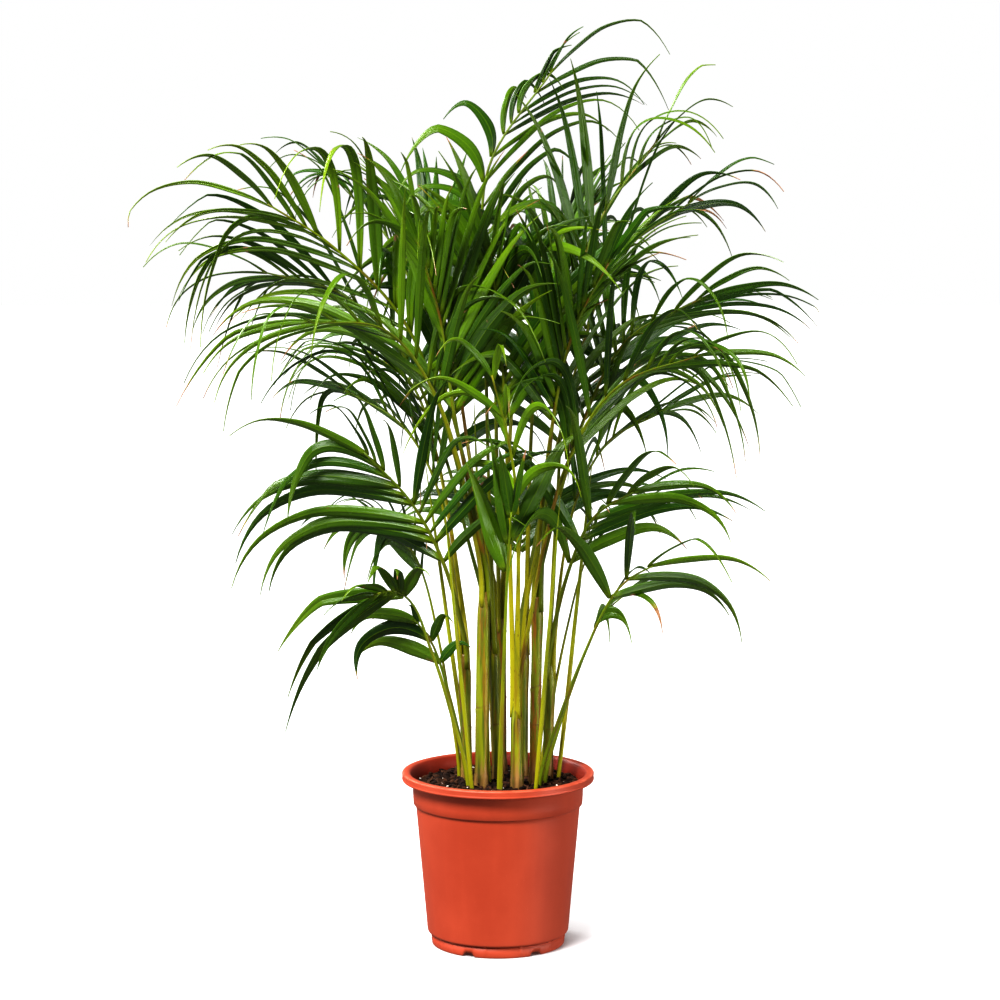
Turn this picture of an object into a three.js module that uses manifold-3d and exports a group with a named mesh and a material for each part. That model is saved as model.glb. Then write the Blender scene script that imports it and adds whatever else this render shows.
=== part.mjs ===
// A young areca palm in a plastic nursery pot: pot, soil, a clump of canes and their feather fronds.
// Millimetres, +Z up, -Y the front. The origin is under the middle of the pot, on what it stands on.
import * as THREE from 'three';
import { mergeVertices } from 'three/addons/utils/BufferGeometryUtils.js';
import Module from 'manifold-3d';

const wasm = await Module();
wasm.setup();

// ---------- driving sizes ----------
const POT = {
  height: 191, rimRadius: 105, lipDrop: 10, collarRadius: 92.5, collarBottom: 156, bodyTopRadius: 89.5,
  bodyBottomRadius: 77.5, footTop: 17, footRadius: 73, wall: 2, floorBottom: 3, floorTop: 6, padRadius: 16,
  sides: 32,
};
const DRAIN = { notches: 6, notchWidth: 15, notchHeight: 4.5, holeRadius: 6, holeRing: 50, firstAngle: 64 };
const SOIL = { top: 172, crown: 5, lump: 1.6, rings: [0.84, 0.62, 0.34] };
const SEAT_GAP = 0.35; // clear space left all round a stem in its hole, and between soil and pot
const STEM_DEPTH = 45; // how far a cane or a shoot reaches below the soil's surface
const SOCKET_DEPTH = 16; // how far a petiole reaches into the top of its cane
const PETIOLE_RADIUS = 2.6;
const RACHIS_TIP_RADIUS = 0.9;
const LEAF_ROOT = 7; // length of rachis that one leaflet grows from
const LEAF_THICKNESS = 0.9;
const LEAF_FOLD = 0.3; // how far a leaflet's edges hang below its midrib, as a share of its half width
const LEAF_STATIONS = [0.24, 0.52, 0.8]; // cross-sections between a long leaflet's root and its tip
const CREASED_STATIONS = [0.26, 0.52, 0.68]; // and of one that folds over
const SHORT_STATIONS = [0.32, 0.72]; // and of one shorter than SHORT_LEAF
const SHORT_LEAF = 150;
const LEAF_WIDEST = 0.36; // where along its length a leaflet is widest
// Some leaflets fold over: where along them, over how much of their length, and how far, in radians. Those
// past the share last of the rachis are too small to.
const CREASE = { at: 0.55, span: 0.14, bend: 1.5, last: 0.85 };
const LEAF_DROOP = { root: 0.15, more: 2.7 }; // how readily a leaflet bends at its root, and more on
const OPEN_FALL = 1.7; // above 1, the leaflets' opening angle keeps longer before it closes towards the tip
// How far one leaflet differs from the next. open and rise are in degrees, and length, width and droop are
// shares. tilt leans its face off the frond's plane, and turn is how fast it comes level towards its tip.
const VARIETY = {
  open: [-7, 7], rise: [-9, 9], length: [0.84, 1.1], width: [0.9, 1.1], droop: [0.6, 1.4], turn: [0.5, 3.5],
  tilt: [-0.1, 0.4],
};
const CLEARANCE = 1.1; // least space between a leaflet and whatever is placed before it

// Canes: the foot on the soil, the top that the petioles leave from, and the radius at the foot.
const CANES = [
  { name: 'cane_1', foot: [-19, -22], top: [-15, -20, 392], radius: 7.3 },
  { name: 'cane_2', foot: [2, 8], top: [-6, 12, 335], radius: 6.0 },
  { name: 'cane_3', foot: [21, -30], top: [20, -31, 272], radius: 7.0 },
  { name: 'cane_4', foot: [27, 26], top: [28, 28, 330], radius: 5.6 },
  { name: 'cane_5', foot: [39, -6], top: [43, -5, 384], radius: 5.8 },
  { name: 'cane_6', foot: [54, 18], top: [57, 20, 305], radius: 5.4 },
  { name: 'cane_7', foot: [-33, 12], top: [-37, 14, 318], radius: 5.8 },
  { name: 'cane_8', foot: [4, 46], top: [2, 50, 352], radius: 6.0 },
];

// Fronds, in the order that they are placed. One with no stem is a young shoot with its foot in the soil.
// The leaflets begin at the knee, and shoulder and tip lead the rachis on. There are so many pairs of them.
// blade, width and limp are given for the left wing and the right one: the length of its longest leaflets,
// how wide they are, and the share of them that fold over. open is their angle off the rachis at the knee
// and at the tip, rise how far they stand up out of the frond's plane, and droop how readily they bend
// down. roll turns the frond about its own rachis, right side up.
const FRONDS = [
  { name: 'frond_left_high', stem: 'cane_1', knee: [-92, -40, 672], shoulder: [-172, -62, 764],
    tip: [-240, -80, 810], pairs: 8, blade: [265, 290], width: [17, 10],
    open: [44, 16], rise: 24, droop: 1.35, limp: [0.9, 0.05], roll: 44 },
  { name: 'frond_left_long', stem: 'cane_2', knee: [-96, 8, 636], shoulder: [-168, 22, 710],
    tip: [-256, 40, 734], pairs: 8, blade: [262, 282], width: [15, 11],
    open: [44, 16], rise: 20, droop: 1.25, limp: [0.5, 0.1], roll: 40 },
  { name: 'frond_top', stem: 'cane_2', knee: [-14, 3, 716], shoulder: [-10, 18, 846],
    tip: [60, 40, 952], pairs: 10, blade: [285, 135], width: [9, 17],
    open: [46, 8], rise: 16, droop: 1.3, limp: [0, 1], roll: -85 },
  { name: 'frond_right_high', stem: 'cane_5', knee: [68, -20, 650], shoulder: [104, -14, 782],
    tip: [172, 10, 878], pairs: 9, blade: [245, 245], width: [12, 17],
    open: [40, 12], rise: 30, droop: 1.35, limp: [0.05, 0.4], roll: -46 },
  { name: 'frond_right_arch', stem: 'cane_4', knee: [88, 34, 640], shoulder: [134, 44, 752],
    tip: [212, 60, 810], pairs: 8, blade: [260, 245], width: [13, 13],
    open: [42, 14], rise: 26, droop: 1.35, limp: [0.1, 0.4], roll: -40 },
  { name: 'frond_right_long', stem: 'cane_5', knee: [92, 4, 574], shoulder: [140, -4, 664],
    tip: [216, -18, 708], pairs: 8, blade: [260, 245], width: [13, 13],
    open: [44, 14], rise: 22, droop: 1.25, limp: [0.1, 0.4], roll: -42 },
  { name: 'frond_left_front', stem: 'cane_1', knee: [-62, -66, 600], shoulder: [-118, -100, 680],
    tip: [-196, -138, 690], pairs: 8, blade: [250, 262], width: [13, 13],
    open: [44, 16], rise: 22, droop: 1.4, limp: [0.5, 0.1], roll: 34 },
  { name: 'frond_left_back', stem: 'cane_8', knee: [-72, 88, 650], shoulder: [-118, 124, 760],
    tip: [-186, 166, 836], pairs: 8, blade: [225, 225], width: [13, 13],
    open: [44, 16], rise: 18, droop: 1.5, limp: [0.5, 0.1], roll: 25 },
  { name: 'frond_left_fan', stem: null, foot: [-32, -24], knee: [-98, -46, 390], shoulder: [-116, -54, 398],
    tip: [-134, -60, 394], pairs: 4, blade: [110, 190], width: [20, 20],
    open: [58, 16], rise: 0, droop: 1.2, limp: [0, 0], roll: 50 },
  { name: 'frond_left_low', stem: 'cane_7', knee: [-58, -34, 424], shoulder: [-92, -50, 492],
    tip: [-142, -62, 548], pairs: 7, blade: [190, 275], width: [15, 24],
    open: [60, 16], rise: 4, droop: 1.5, limp: [0.1, 0.2], roll: 50 },
  { name: 'frond_left_middle', stem: 'cane_7', knee: [-66, 22, 500], shoulder: [-106, 38, 568],
    tip: [-166, 60, 602], pairs: 7, blade: [250, 262], width: [13, 13],
    open: [44, 14], rise: 18, droop: 1.2, limp: [0.4, 0.1], roll: 38 },
  { name: 'frond_left_small', stem: null, foot: [-34, -6], knee: [-62, -14, 310], shoulder: [-74, -18, 340],
    tip: [-90, -24, 362], pairs: 3, blade: [60, 150], width: [14, 24],
    open: [44, 20], rise: 0, droop: 1.9, limp: [0, 0.3], roll: 50 },
  { name: 'frond_right_front', stem: 'cane_3', knee: [74, -52, 536], shoulder: [128, -78, 620],
    tip: [208, -112, 654], pairs: 8, blade: [250, 240], width: [13, 13],
    open: [44, 14], rise: 20, droop: 1.3, limp: [0.1, 0.4], roll: -34 },
  { name: 'frond_right_fan', stem: null, foot: [46, -17], knee: [120, -34, 384], shoulder: [142, -40, 410],
    tip: [166, -46, 424], pairs: 3, blade: [215, 215], width: [19, 19],
    open: [60, 16], rise: 4, droop: 1.6, limp: [0.2, 0.2], roll: -36 },
  { name: 'frond_right_middle', stem: 'cane_6', knee: [84, 30, 480], shoulder: [122, 48, 548],
    tip: [180, 68, 578], pairs: 6, blade: [262, 245], width: [13, 13],
    open: [44, 14], rise: 18, droop: 1.15, limp: [0.2, 0.2], roll: -38 },
  { name: 'frond_right_low', stem: 'cane_6', knee: [78, -18, 420], shoulder: [104, -32, 476],
    tip: [144, -50, 504], pairs: 5, blade: [215, 215], width: [19, 19],
    open: [50, 14], rise: 6, droop: 1.3, limp: [0.2, 0.2], roll: -34 },
  { name: 'frond_right_small', stem: null, foot: [52, 0], knee: [106, 14, 344], shoulder: [122, 18, 368],
    tip: [142, 24, 384], pairs: 3, blade: [135, 135], width: [17, 17],
    open: [46, 16], rise: 8, droop: 1.5, limp: [0.2, 0.2], roll: -10 },
  { name: 'frond_left_side', stem: null, foot: [-42, 25], knee: [-82, 26, 404], shoulder: [-102, 36, 440],
    tip: [-132, 48, 462], pairs: 5, blade: [120, 210], width: [12, 22],
    open: [54, 18], rise: 4, droop: 1.4, limp: [0.2, 0.2], roll: 40 },
  { name: 'frond_right_side', stem: null, foot: [48, 34], knee: [94, 40, 412], shoulder: [114, 48, 446],
    tip: [144, 58, 466], pairs: 3, blade: [190, 190], width: [16, 16],
    open: [48, 16], rise: 8, droop: 1.3, limp: [0.2, 0.2], roll: -20 },
  { name: 'frond_front_left', stem: 'cane_1', knee: [-46, -72, 590], shoulder: [-60, -94, 690],
    tip: [-82, -126, 772], pairs: 8, blade: [235, 235], width: [18, 18],
    open: [34, 10], rise: 26, droop: 0.8, limp: [0.1, 0.1], roll: 0 },
  { name: 'frond_front', stem: 'cane_3', knee: [8, -64, 580], shoulder: [2, -82, 680],
    tip: [-8, -110, 762], pairs: 8, blade: [235, 235], width: [20, 20],
    open: [32, 10], rise: 22, droop: 0.8, limp: [0.1, 0.1], roll: 0 },
  { name: 'frond_front_right', stem: 'cane_5', knee: [58, -60, 580], shoulder: [80, -86, 680],
    tip: [114, -120, 750], pairs: 8, blade: [235, 235], width: [19, 19],
    open: [34, 10], rise: 22, droop: 0.8, limp: [0.1, 0.1], roll: 0 },
  { name: 'frond_front_bright', stem: 'cane_3', knee: [20, -84, 500], shoulder: [10, -112, 570],
    tip: [-6, -146, 636], pairs: 4, blade: [155, 155], width: [15, 15],
    open: [36, 14], rise: 16, droop: 2.0, limp: [0.8, 0.8], roll: 0 },
  { name: 'frond_front_low', stem: null, foot: [2, -46], knee: [10, -78, 420], shoulder: [12, -86, 456],
    tip: [14, -96, 488], pairs: 3, blade: [165, 165], width: [25, 25],
    open: [16, 8], rise: 0, droop: 0.3, limp: [0.2, 0.2], roll: 0 },
  { name: 'frond_middle_left', stem: 'cane_2', knee: [-40, 30, 596], shoulder: [-54, 52, 700],
    tip: [-80, 84, 784], pairs: 7, blade: [235, 235], width: [19, 19],
    open: [34, 10], rise: 24, droop: 0.9, limp: [0.2, 0.2], roll: 0 },
  { name: 'frond_middle_right', stem: 'cane_4', knee: [38, 34, 590], shoulder: [50, 56, 696],
    tip: [76, 94, 780], pairs: 7, blade: [235, 235], width: [19, 19],
    open: [34, 10], rise: 24, droop: 0.9, limp: [0.2, 0.2], roll: 0 },
  { name: 'frond_back', stem: 'cane_8', knee: [16, 104, 590], shoulder: [28, 160, 700],
    tip: [50, 236, 762], pairs: 8, blade: [240, 240], width: [17, 17],
    open: [52, 18], rise: 18, droop: 1.6, limp: [0.2, 0.2], roll: 0 },
  { name: 'frond_back_left', stem: 'cane_7', knee: [-66, 84, 520], shoulder: [-98, 144, 604],
    tip: [-150, 212, 634], pairs: 7, blade: [235, 235], width: [17, 17],
    open: [52, 18], rise: 14, droop: 1.6, limp: [0.2, 0.2], roll: 0 },
  { name: 'frond_back_right', stem: 'cane_4', knee: [66, 96, 540], shoulder: [104, 146, 626],
    tip: [160, 212, 662], pairs: 7, blade: [235, 235], width: [17, 17],
    open: [52, 18], rise: 16, droop: 1.6, limp: [0.2, 0.2], roll: 0 },
  { name: 'frond_back_low', stem: null, foot: [18, 66], knee: [24, 128, 412], shoulder: [30, 164, 446],
    tip: [42, 210, 460], pairs: 5, blade: [225, 225], width: [20, 20],
    open: [52, 18], rise: 12, droop: 1.6, limp: [0.2, 0.2], roll: 0 },
];

// Spears: leaves that haven't opened yet, straight up out of a cane or the soil.
const SPEARS = [
  { name: 'spear_1', stem: 'cane_6', tip: [70, 26, 590], roll: 0 },
  { name: 'spear_2', stem: 'cane_8', tip: [-4, 50, 690], roll: 0 },
  { name: 'spear_3', stem: null, foot: [-26, 26], tip: [-80, 40, 530], roll: 0 },
  { name: 'spear_4', stem: null, foot: [-24, -36], tip: [-56, -62, 480], roll: 0 },
  { name: 'spear_5', stem: null, foot: [62, 9], tip: [104, 34, 540], roll: 0 },
  { name: 'spear_6', stem: null, foot: [38, -32], tip: [66, -62, 500], roll: 0 },
  { name: 'spear_7', stem: null, foot: [-8, -6], tip: [-26, 4, 600], roll: 0 },
];
const SPEAR_RADIUS = 2.3;

// ---------- materials ----------
const finish = (color, roughness) => new THREE.MeshStandardMaterial({ color, roughness, metalness: 0 });
const materials = {
  pot: finish('#c4492f', 0.5),
  soil: finish('#3a241b', 0.95),
  cane: finish('#8d8f2a', 0.6),
  frond: finish('#2c6a1c', 0.45),
  spear: finish('#8fae2e', 0.5),
};

// ---------- small tools ----------
const UP = new THREE.Vector3(0, 0, 1);
const vec = (p) => new THREE.Vector3(...p);
const radians = THREE.MathUtils.degToRad;
const lerp = THREE.MathUtils.lerp;

// A repeatable draw between low and high.
function seeded(seed) {
  let state = seed * 7919 + 13;
  return (low, high) => {
    state = (state + 0x6d2b79f5) | 0;
    let t = Math.imul(state ^ (state >>> 15), 1 | state);
    t = (t + Math.imul(t ^ (t >>> 7), 61 | t)) ^ t;
    return low + (high - low) * (((t ^ (t >>> 14)) >>> 0) / 4294967296);
  };
}

function solidOf(geometry) {
  const bare = new THREE.BufferGeometry();
  bare.setAttribute('position', geometry.getAttribute('position').clone());
  if (geometry.index) bare.setIndex(geometry.index.clone());
  const merged = mergeVertices(bare, 1e-4);
  return new wasm.Manifold(new wasm.Mesh({
    numProp: 3,
    vertProperties: merged.attributes.position.array,
    triVerts: new Uint32Array(merged.index.array),
  }));
}

function geometryOf(solid) {
  const mesh = solid.getMesh();
  return new THREE.BufferGeometry()
    .setAttribute('position', new THREE.BufferAttribute(mesh.vertProperties, 3))
    .setIndex(new THREE.BufferAttribute(mesh.triVerts, 1));
}

const bored = (solid, holes) => holes.reduce((body, hole) => body.subtract(hole), solid);

function named(name, geometry, material) {
  geometry.computeVertexNormals();
  const mesh = new THREE.Mesh(geometry, material);
  mesh.name = name;
  return mesh;
}

// A closed surface as it is drawn: points, and faces that name them.
class Shell {
  constructor() {
    this.points = [];
    this.faces = [];
  }
  ring(points) {
    const first = this.points.length;
    this.points.push(...points);
    return points.map((_, i) => first + i);
  }
  add(faces, turned) {
    this.faces.push(...faces.map(([a, b, c]) => (turned ? [b, a, c] : [a, b, c])));
  }
  // The walls between two rings. Each diagonal runs from an odd corner to an even one of the next ring, so
  // that a blade's upper and lower faces are split alike.
  tube(from, to, turned, skip = []) {
    from.forEach((a, i) => {
      const j = (i + 1) % from.length;
      const [b, nextA, nextB] = [from[j], to[i], to[j]];
      if (skip.includes(i)) return;
      this.add(i % 2 ? [[a, b, nextB], [a, nextB, nextA]] : [[a, b, nextA], [b, nextB, nextA]], turned);
    });
  }
  cone(ring, tip, turned) {
    const [apex] = this.ring([tip]);
    this.add(ring.map((a, i) => [a, ring[(i + 1) % ring.length], apex]), turned);
  }
  cap([a, b, c, d], turned) {
    this.add([[a, b, c], [a, c, d]], turned);
  }
  geometry() {
    return new THREE.BufferGeometry().setFromPoints(this.points).setIndex(this.faces.flat());
  }
}

// ---------- pot ----------
function potProfile() {
  const p = POT;
  const lipBottom = p.height - p.lipDrop;
  const collarTop = p.collarRadius + 1;
  return [
    [0, 0], [p.padRadius, 0], [p.padRadius + 1, p.floorBottom], [p.footRadius - 6, p.floorBottom],
    [p.footRadius - 5, 0], [p.footRadius - 1, 0], [p.footRadius, 2], [p.footRadius + 0.8, p.footTop - 3],
    [p.bodyBottomRadius, p.footTop], [p.bodyTopRadius, p.collarBottom - 5],
    [p.collarRadius, p.collarBottom], [collarTop, lipBottom],
    [p.rimRadius - 2, lipBottom + 0.5], [p.rimRadius, lipBottom + 4],
    [p.rimRadius - 1.5, p.height - 2], [p.rimRadius - 4.5, p.height], [p.rimRadius - 8, p.height - 1],
    [collarTop - p.wall, lipBottom - 1], [p.collarRadius - p.wall, p.collarBottom + 1],
    [p.bodyTopRadius - p.wall, p.collarBottom - 6], [p.bodyBottomRadius - p.wall, p.footTop + 1],
    [p.footRadius - p.wall - 1, p.floorTop], [0, p.floorTop],
  ];
}

function lathe(profile, sides) {
  const turned = new THREE.LatheGeometry(profile.map(([r, z]) => new THREE.Vector2(r, z)), sides);
  return turned.rotateX(Math.PI / 2);
}

// A notch in the foot, narrower at its top, and a hole in the floor between it and the next notch.
function drainNotch(angle) {
  const { notchWidth, notchHeight } = DRAIN;
  const outline = new THREE.Shape([[-0.5, -1], [0.5, -1], [0.5, 0], [0.33, 1], [-0.33, 1], [-0.5, 0]]
    .map(([x, y]) => new THREE.Vector2(x * notchWidth, y * notchHeight)));
  return new THREE.ExtrudeGeometry(outline, { depth: 12, bevelEnabled: false })
    .rotateX(Math.PI / 2).rotateZ(Math.PI / 2).translate(POT.footRadius - 8, 0, 0).rotateZ(angle);
}

function drainHole(angle) {
  return new THREE.CylinderGeometry(DRAIN.holeRadius, DRAIN.holeRadius, POT.floorTop * 2, 8)
    .rotateX(Math.PI / 2).translate(DRAIN.holeRing, 0, POT.floorTop).rotateZ(angle);
}

function pot() {
  let body = solidOf(lathe(potProfile(), POT.sides));
  const step = (2 * Math.PI) / DRAIN.notches;
  for (let i = 0; i < DRAIN.notches; i += 1) {
    const angle = radians(DRAIN.firstAngle) + i * step;
    body = body.subtract(solidOf(drainNotch(angle))).subtract(solidOf(drainHole(angle + step / 2)));
  }
  return named('pot', geometryOf(body), materials.pot);
}

// ---------- stems ----------
const stemsOf = (cane) => [...FRONDS, ...SPEARS].filter((stem) => stem.stem === cane.name);
const caneBase = (cane) => vec([...cane.foot, SOIL.top - STEM_DEPTH]);
const caneTop = (cane) => vec(cane.top);
const caneAlong = (cane) => caneTop(cane).sub(caneBase(cane)).normalize();

// The petioles in a cane stand evenly round its top, in the order of the ways that they lean.
function socketRadius(cane) {
  const count = stemsOf(cane).length;
  return count < 2 ? 0 : (PETIOLE_RADIUS + SEAT_GAP + 0.2) / Math.sin(Math.PI / count);
}

function socketAngle(cane, own) {
  const lean = (stem) => {
    const way = vec(stem.knee ?? stem.tip).sub(caneTop(cane));
    return Math.atan2(way.y, way.x);
  };
  const order = stemsOf(cane).sort((a, b) => lean(a) - lean(b));
  const step = (2 * Math.PI) / order.length;
  let x = 0;
  let y = 0;
  order.forEach((stem, i) => {
    x += Math.cos(lean(stem) - i * step);
    y += Math.sin(lean(stem) - i * step);
  });
  return Math.atan2(y, x) + order.findIndex((stem) => stem.name === own.name) * step;
}

// A cane's sheath ends in a collar that is just wide enough for its petioles.
function caneProfile(cane, extra = 0) {
  const topRadius = socketRadius(cane) + PETIOLE_RADIUS + 0.9;
  const length = caneTop(cane).distanceTo(caneBase(cane));
  const scar = STEM_DEPTH + 34;
  return [
    [0, -extra], [cane.radius + extra, -extra], [cane.radius + extra, scar],
    [cane.radius - 0.7 + extra, scar + 3], [cane.radius + extra, length - 60],
    [topRadius + extra, length - SOCKET_DEPTH - 8], [topRadius + extra, length - 5],
    [topRadius - 0.6 + extra, length + extra], [0, length + extra],
  ];
}

function caneSolid(cane, extra = 0) {
  const geometry = lathe(caneProfile(cane, extra), 8);
  geometry.applyQuaternion(new THREE.Quaternion().setFromUnitVectors(UP, caneAlong(cane)));
  geometry.translate(...caneBase(cane).toArray());
  return solidOf(geometry);
}

// ---------- fronds ----------
// Where a petiole stands: in its cane, or in the soil. height is measured up from its lower end.
function petioleFoot(own, height) {
  if (!own.stem) return vec([...own.foot, SOIL.top - STEM_DEPTH + 10 + height]);
  const cane = CANES.find((c) => c.name === own.stem);
  const angle = socketAngle(cane, own);
  return caneTop(cane).addScaledVector(caneAlong(cane), height - SOCKET_DEPTH)
    .add(vec([Math.cos(angle), Math.sin(angle), 0]).multiplyScalar(socketRadius(cane)));
}

// A petiole is straight in its hole and a little beyond it.
const straightLength = (own) => (own.stem ? SOCKET_DEPTH + 8 : STEM_DEPTH);

function frondCurve(own) {
  const foot = [petioleFoot(own, 0), petioleFoot(own, straightLength(own))];
  const course = [own.knee, own.shoulder, own.tip].map(vec);
  return new THREE.CatmullRomCurve3([...foot, ...course], false, 'centripetal');
}

// The frond's own directions at one place: along its rachis, to its right, and up out of its plane.
function frameAt(parts, share) {
  const along = parts.curve.getTangentAt(share);
  const right = new THREE.Vector3().crossVectors(parts.outward, UP);
  right.addScaledVector(along, -right.dot(along)).normalize();
  const roll = radians(parts.own.roll) * THREE.MathUtils.smoothstep(share, 0.1, 0.6);
  right.applyAxisAngle(along, roll);
  const above = new THREE.Vector3().crossVectors(right, along);
  return { at: parts.curve.getPointAt(share), along, right, above };
}

function kite({ at, right, above }, radius) {
  const corners = [[right, -1], [above, 0.9], [right, 1], [above, -0.9]];
  return corners.map(([axis, k]) => at.clone().addScaledVector(axis, k * radius));
}

function shareNearest(curve, point) {
  const steps = 200;
  const away = (i) => curve.getPointAt(i / steps).distanceTo(point);
  let best = 0;
  for (let i = 1; i <= steps; i += 1) {
    if (away(i) < away(best)) best = i;
  }
  return best / steps;
}

// Places along the rachis: plain ones up the petiole, then a root and a gap for each pair of leaflets.
function frondParts(own) {
  const curve = frondCurve(own);
  const length = curve.getLength();
  const outward = vec(own.tip).sub(vec(own.knee)).setZ(0).normalize();
  const knee = shareNearest(curve, vec(own.knee));
  const firm = straightLength(own) / length;
  const bare = [0, firm, lerp(firm, knee, 0.35), lerp(firm, knee, 0.7)];
  const plan = bare.map((share) => ({ share, leafy: false }));
  const last = 1 - (LEAF_ROOT + 2) / length;
  for (let i = 0; i < own.pairs; i += 1) {
    const share = lerp(knee, last, i / (own.pairs - 1));
    plan.push({ share, leafy: true }, { share: share + LEAF_ROOT / length, leafy: false });
  }
  return { own, curve, outward, plan, knee };
}

const rachisRadius = (share) => lerp(PETIOLE_RADIUS, RACHIS_TIP_RADIUS, Math.max(0, share - 0.1) / 0.9);

const rachisRings = (parts, shell, extra = 0) => [...parts.plan, { share: 1 }].map(({ share }) =>
  shell.ring(kite(frameAt(parts, share), rachisRadius(share) + extra)));

function rachisSolid(parts, extra) {
  const shell = new Shell();
  const rings = rachisRings(parts, shell, extra);
  shell.cap(rings[0], true);
  for (let i = 1; i < rings.length; i += 1) shell.tube(rings[i - 1], rings[i], false);
  shell.cap(rings.at(-1), false);
  return solidOf(shell.geometry());
}

// Half width along a leaflet, from its root to its long drawn-out tip.
const bladeShape = (share) => (share < LEAF_WIDEST
  ? Math.sqrt(share / LEAF_WIDEST)
  : 1 - ((share - LEAF_WIDEST) / (1 - LEAF_WIDEST)) ** 1.7);

// How a leaflet is pulled down at one share of its length: by its weight, or where it folds over.
function pullDown(leaf, along, share) {
  const down = UP.clone().multiplyScalar(-1).addScaledVector(along, along.z);
  const folds = leaf.creased && Math.abs(share - CREASE.at) < CREASE.span / 2;
  if (folds) return down.setLength(CREASE.bend / CREASE.span);
  return down.multiplyScalar(leaf.droop * (LEAF_DROOP.root + LEAF_DROOP.more * share ** 2));
}

// The course of one leaflet: it sets off from the rachis, bends down and turns its face up.
function leafletStations(root, start, across, leaf, side) {
  const steps = 25;
  const at = root.clone();
  const along = start.clone();
  const width = across.clone();
  const long = leaf.creased ? CREASED_STATIONS : LEAF_STATIONS;
  const places = leaf.length < SHORT_LEAF ? SHORT_STATIONS : long;
  const found = [];
  for (let i = 1; i <= steps; i += 1) {
    const share = i / steps;
    along.addScaledVector(pullDown(leaf, along, share), 1 / steps).normalize();
    const level = new THREE.Vector3().crossVectors(along, UP);
    if (level.dot(width) < 0) level.negate();
    width.addScaledVector(level, (leaf.turn * share ** 3) / steps);
    width.addScaledVector(along, -width.dot(along)).normalize();
    at.addScaledVector(along, leaf.length / steps);
    if (places.some((place) => Math.abs(place - share) < 0.5 / steps) || i === steps) {
      const above = new THREE.Vector3().crossVectors(width, along).multiplyScalar(-side);
      const half = leaf.width * 0.5 * bladeShape(share);
      found.push({ at: at.clone(), width: width.clone(), above, half });
    }
  }
  return found;
}

// A folded cross-section: lower edge, midrib from above, upper edge, midrib from below.
function bladeRing(shell, { at, width, above, half }, extra) {
  const fold = at.clone().addScaledVector(above, -LEAF_FOLD * half);
  const edge = (k) => fold.clone().addScaledVector(width, k * (half + extra));
  const rib = (k) => at.clone().addScaledVector(above, k * (LEAF_THICKNESS / 2 + extra));
  return shell.ring([edge(-1), rib(1), edge(1), rib(-1)]);
}

// Draws a leaflet on from a ring of four points; extra makes it fuller on every side.
function drawLeaflet(shell, from, stations, side, extra = 0) {
  let ring = from;
  for (const station of stations.slice(0, -1)) {
    const next = bladeRing(shell, station, extra);
    shell.tube(ring, next, side > 0);
    ring = next;
  }
  shell.cone(ring, stations.at(-1).at, side > 0);
}

function leafletSolid(rootPoints, stations, side, extra) {
  const shell = new Shell();
  const ring = shell.ring(rootPoints);
  shell.cap(ring, side < 0);
  drawLeaflet(shell, ring, stations, side, extra);
  return solidOf(shell.geometry());
}

// The same without the stretch next to the rachis.
function outerSolid(stations, side, extra) {
  const shell = new Shell();
  const ring = bladeRing(shell, stations[0], extra);
  shell.cap(ring, side < 0);
  drawLeaflet(shell, ring, stations.slice(1), side, extra);
  return solidOf(shell.geometry());
}

// Everything placed so far, each with its box, so that only near neighbours are tested.
const placed = [];

function boxOf(solid) {
  const { min, max } = solid.boundingBox();
  return new THREE.Box3(vec(min), vec(max));
}

const place = (solid, owner) => placed.push({ solid, owner, box: boxOf(solid) });

function isClear(solid, owner) {
  const box = boxOf(solid);
  return placed.every((other) => {
    if (other.owner === owner || !other.box.intersectsBox(box)) return true;
    const shared = solid.intersect(other.solid);
    const empty = shared.isEmpty();
    shared.delete();
    return empty;
  });
}

// Ways to bend a leaflet clear, the smallest first: degrees of rise, degrees of swing, share of its length.
const BENDS = [];
for (const length of [1, 0.92, 0.84, 0.76, 0.66]) {
  for (const rise of [0, 7, -7, 14, -14, 22, -22, 32, -32]) {
    for (const swing of [0, 7, -7, 14, -14]) BENDS.push({ rise, swing, length });
  }
}
const bendCost = ({ rise, swing, length }) => Math.abs(rise) + 1.6 * Math.abs(swing) + 70 * (1 - length);
BENDS.sort((a, b) => bendCost(a) - bendCost(b));

// A leaflet's length as a share of the frond's longest.
function bladeSize(share) {
  const middle = Math.sin(Math.PI * Math.min(1, share * 1.5));
  return 0.78 + 0.22 * middle - 0.26 * share * share;
}

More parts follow.
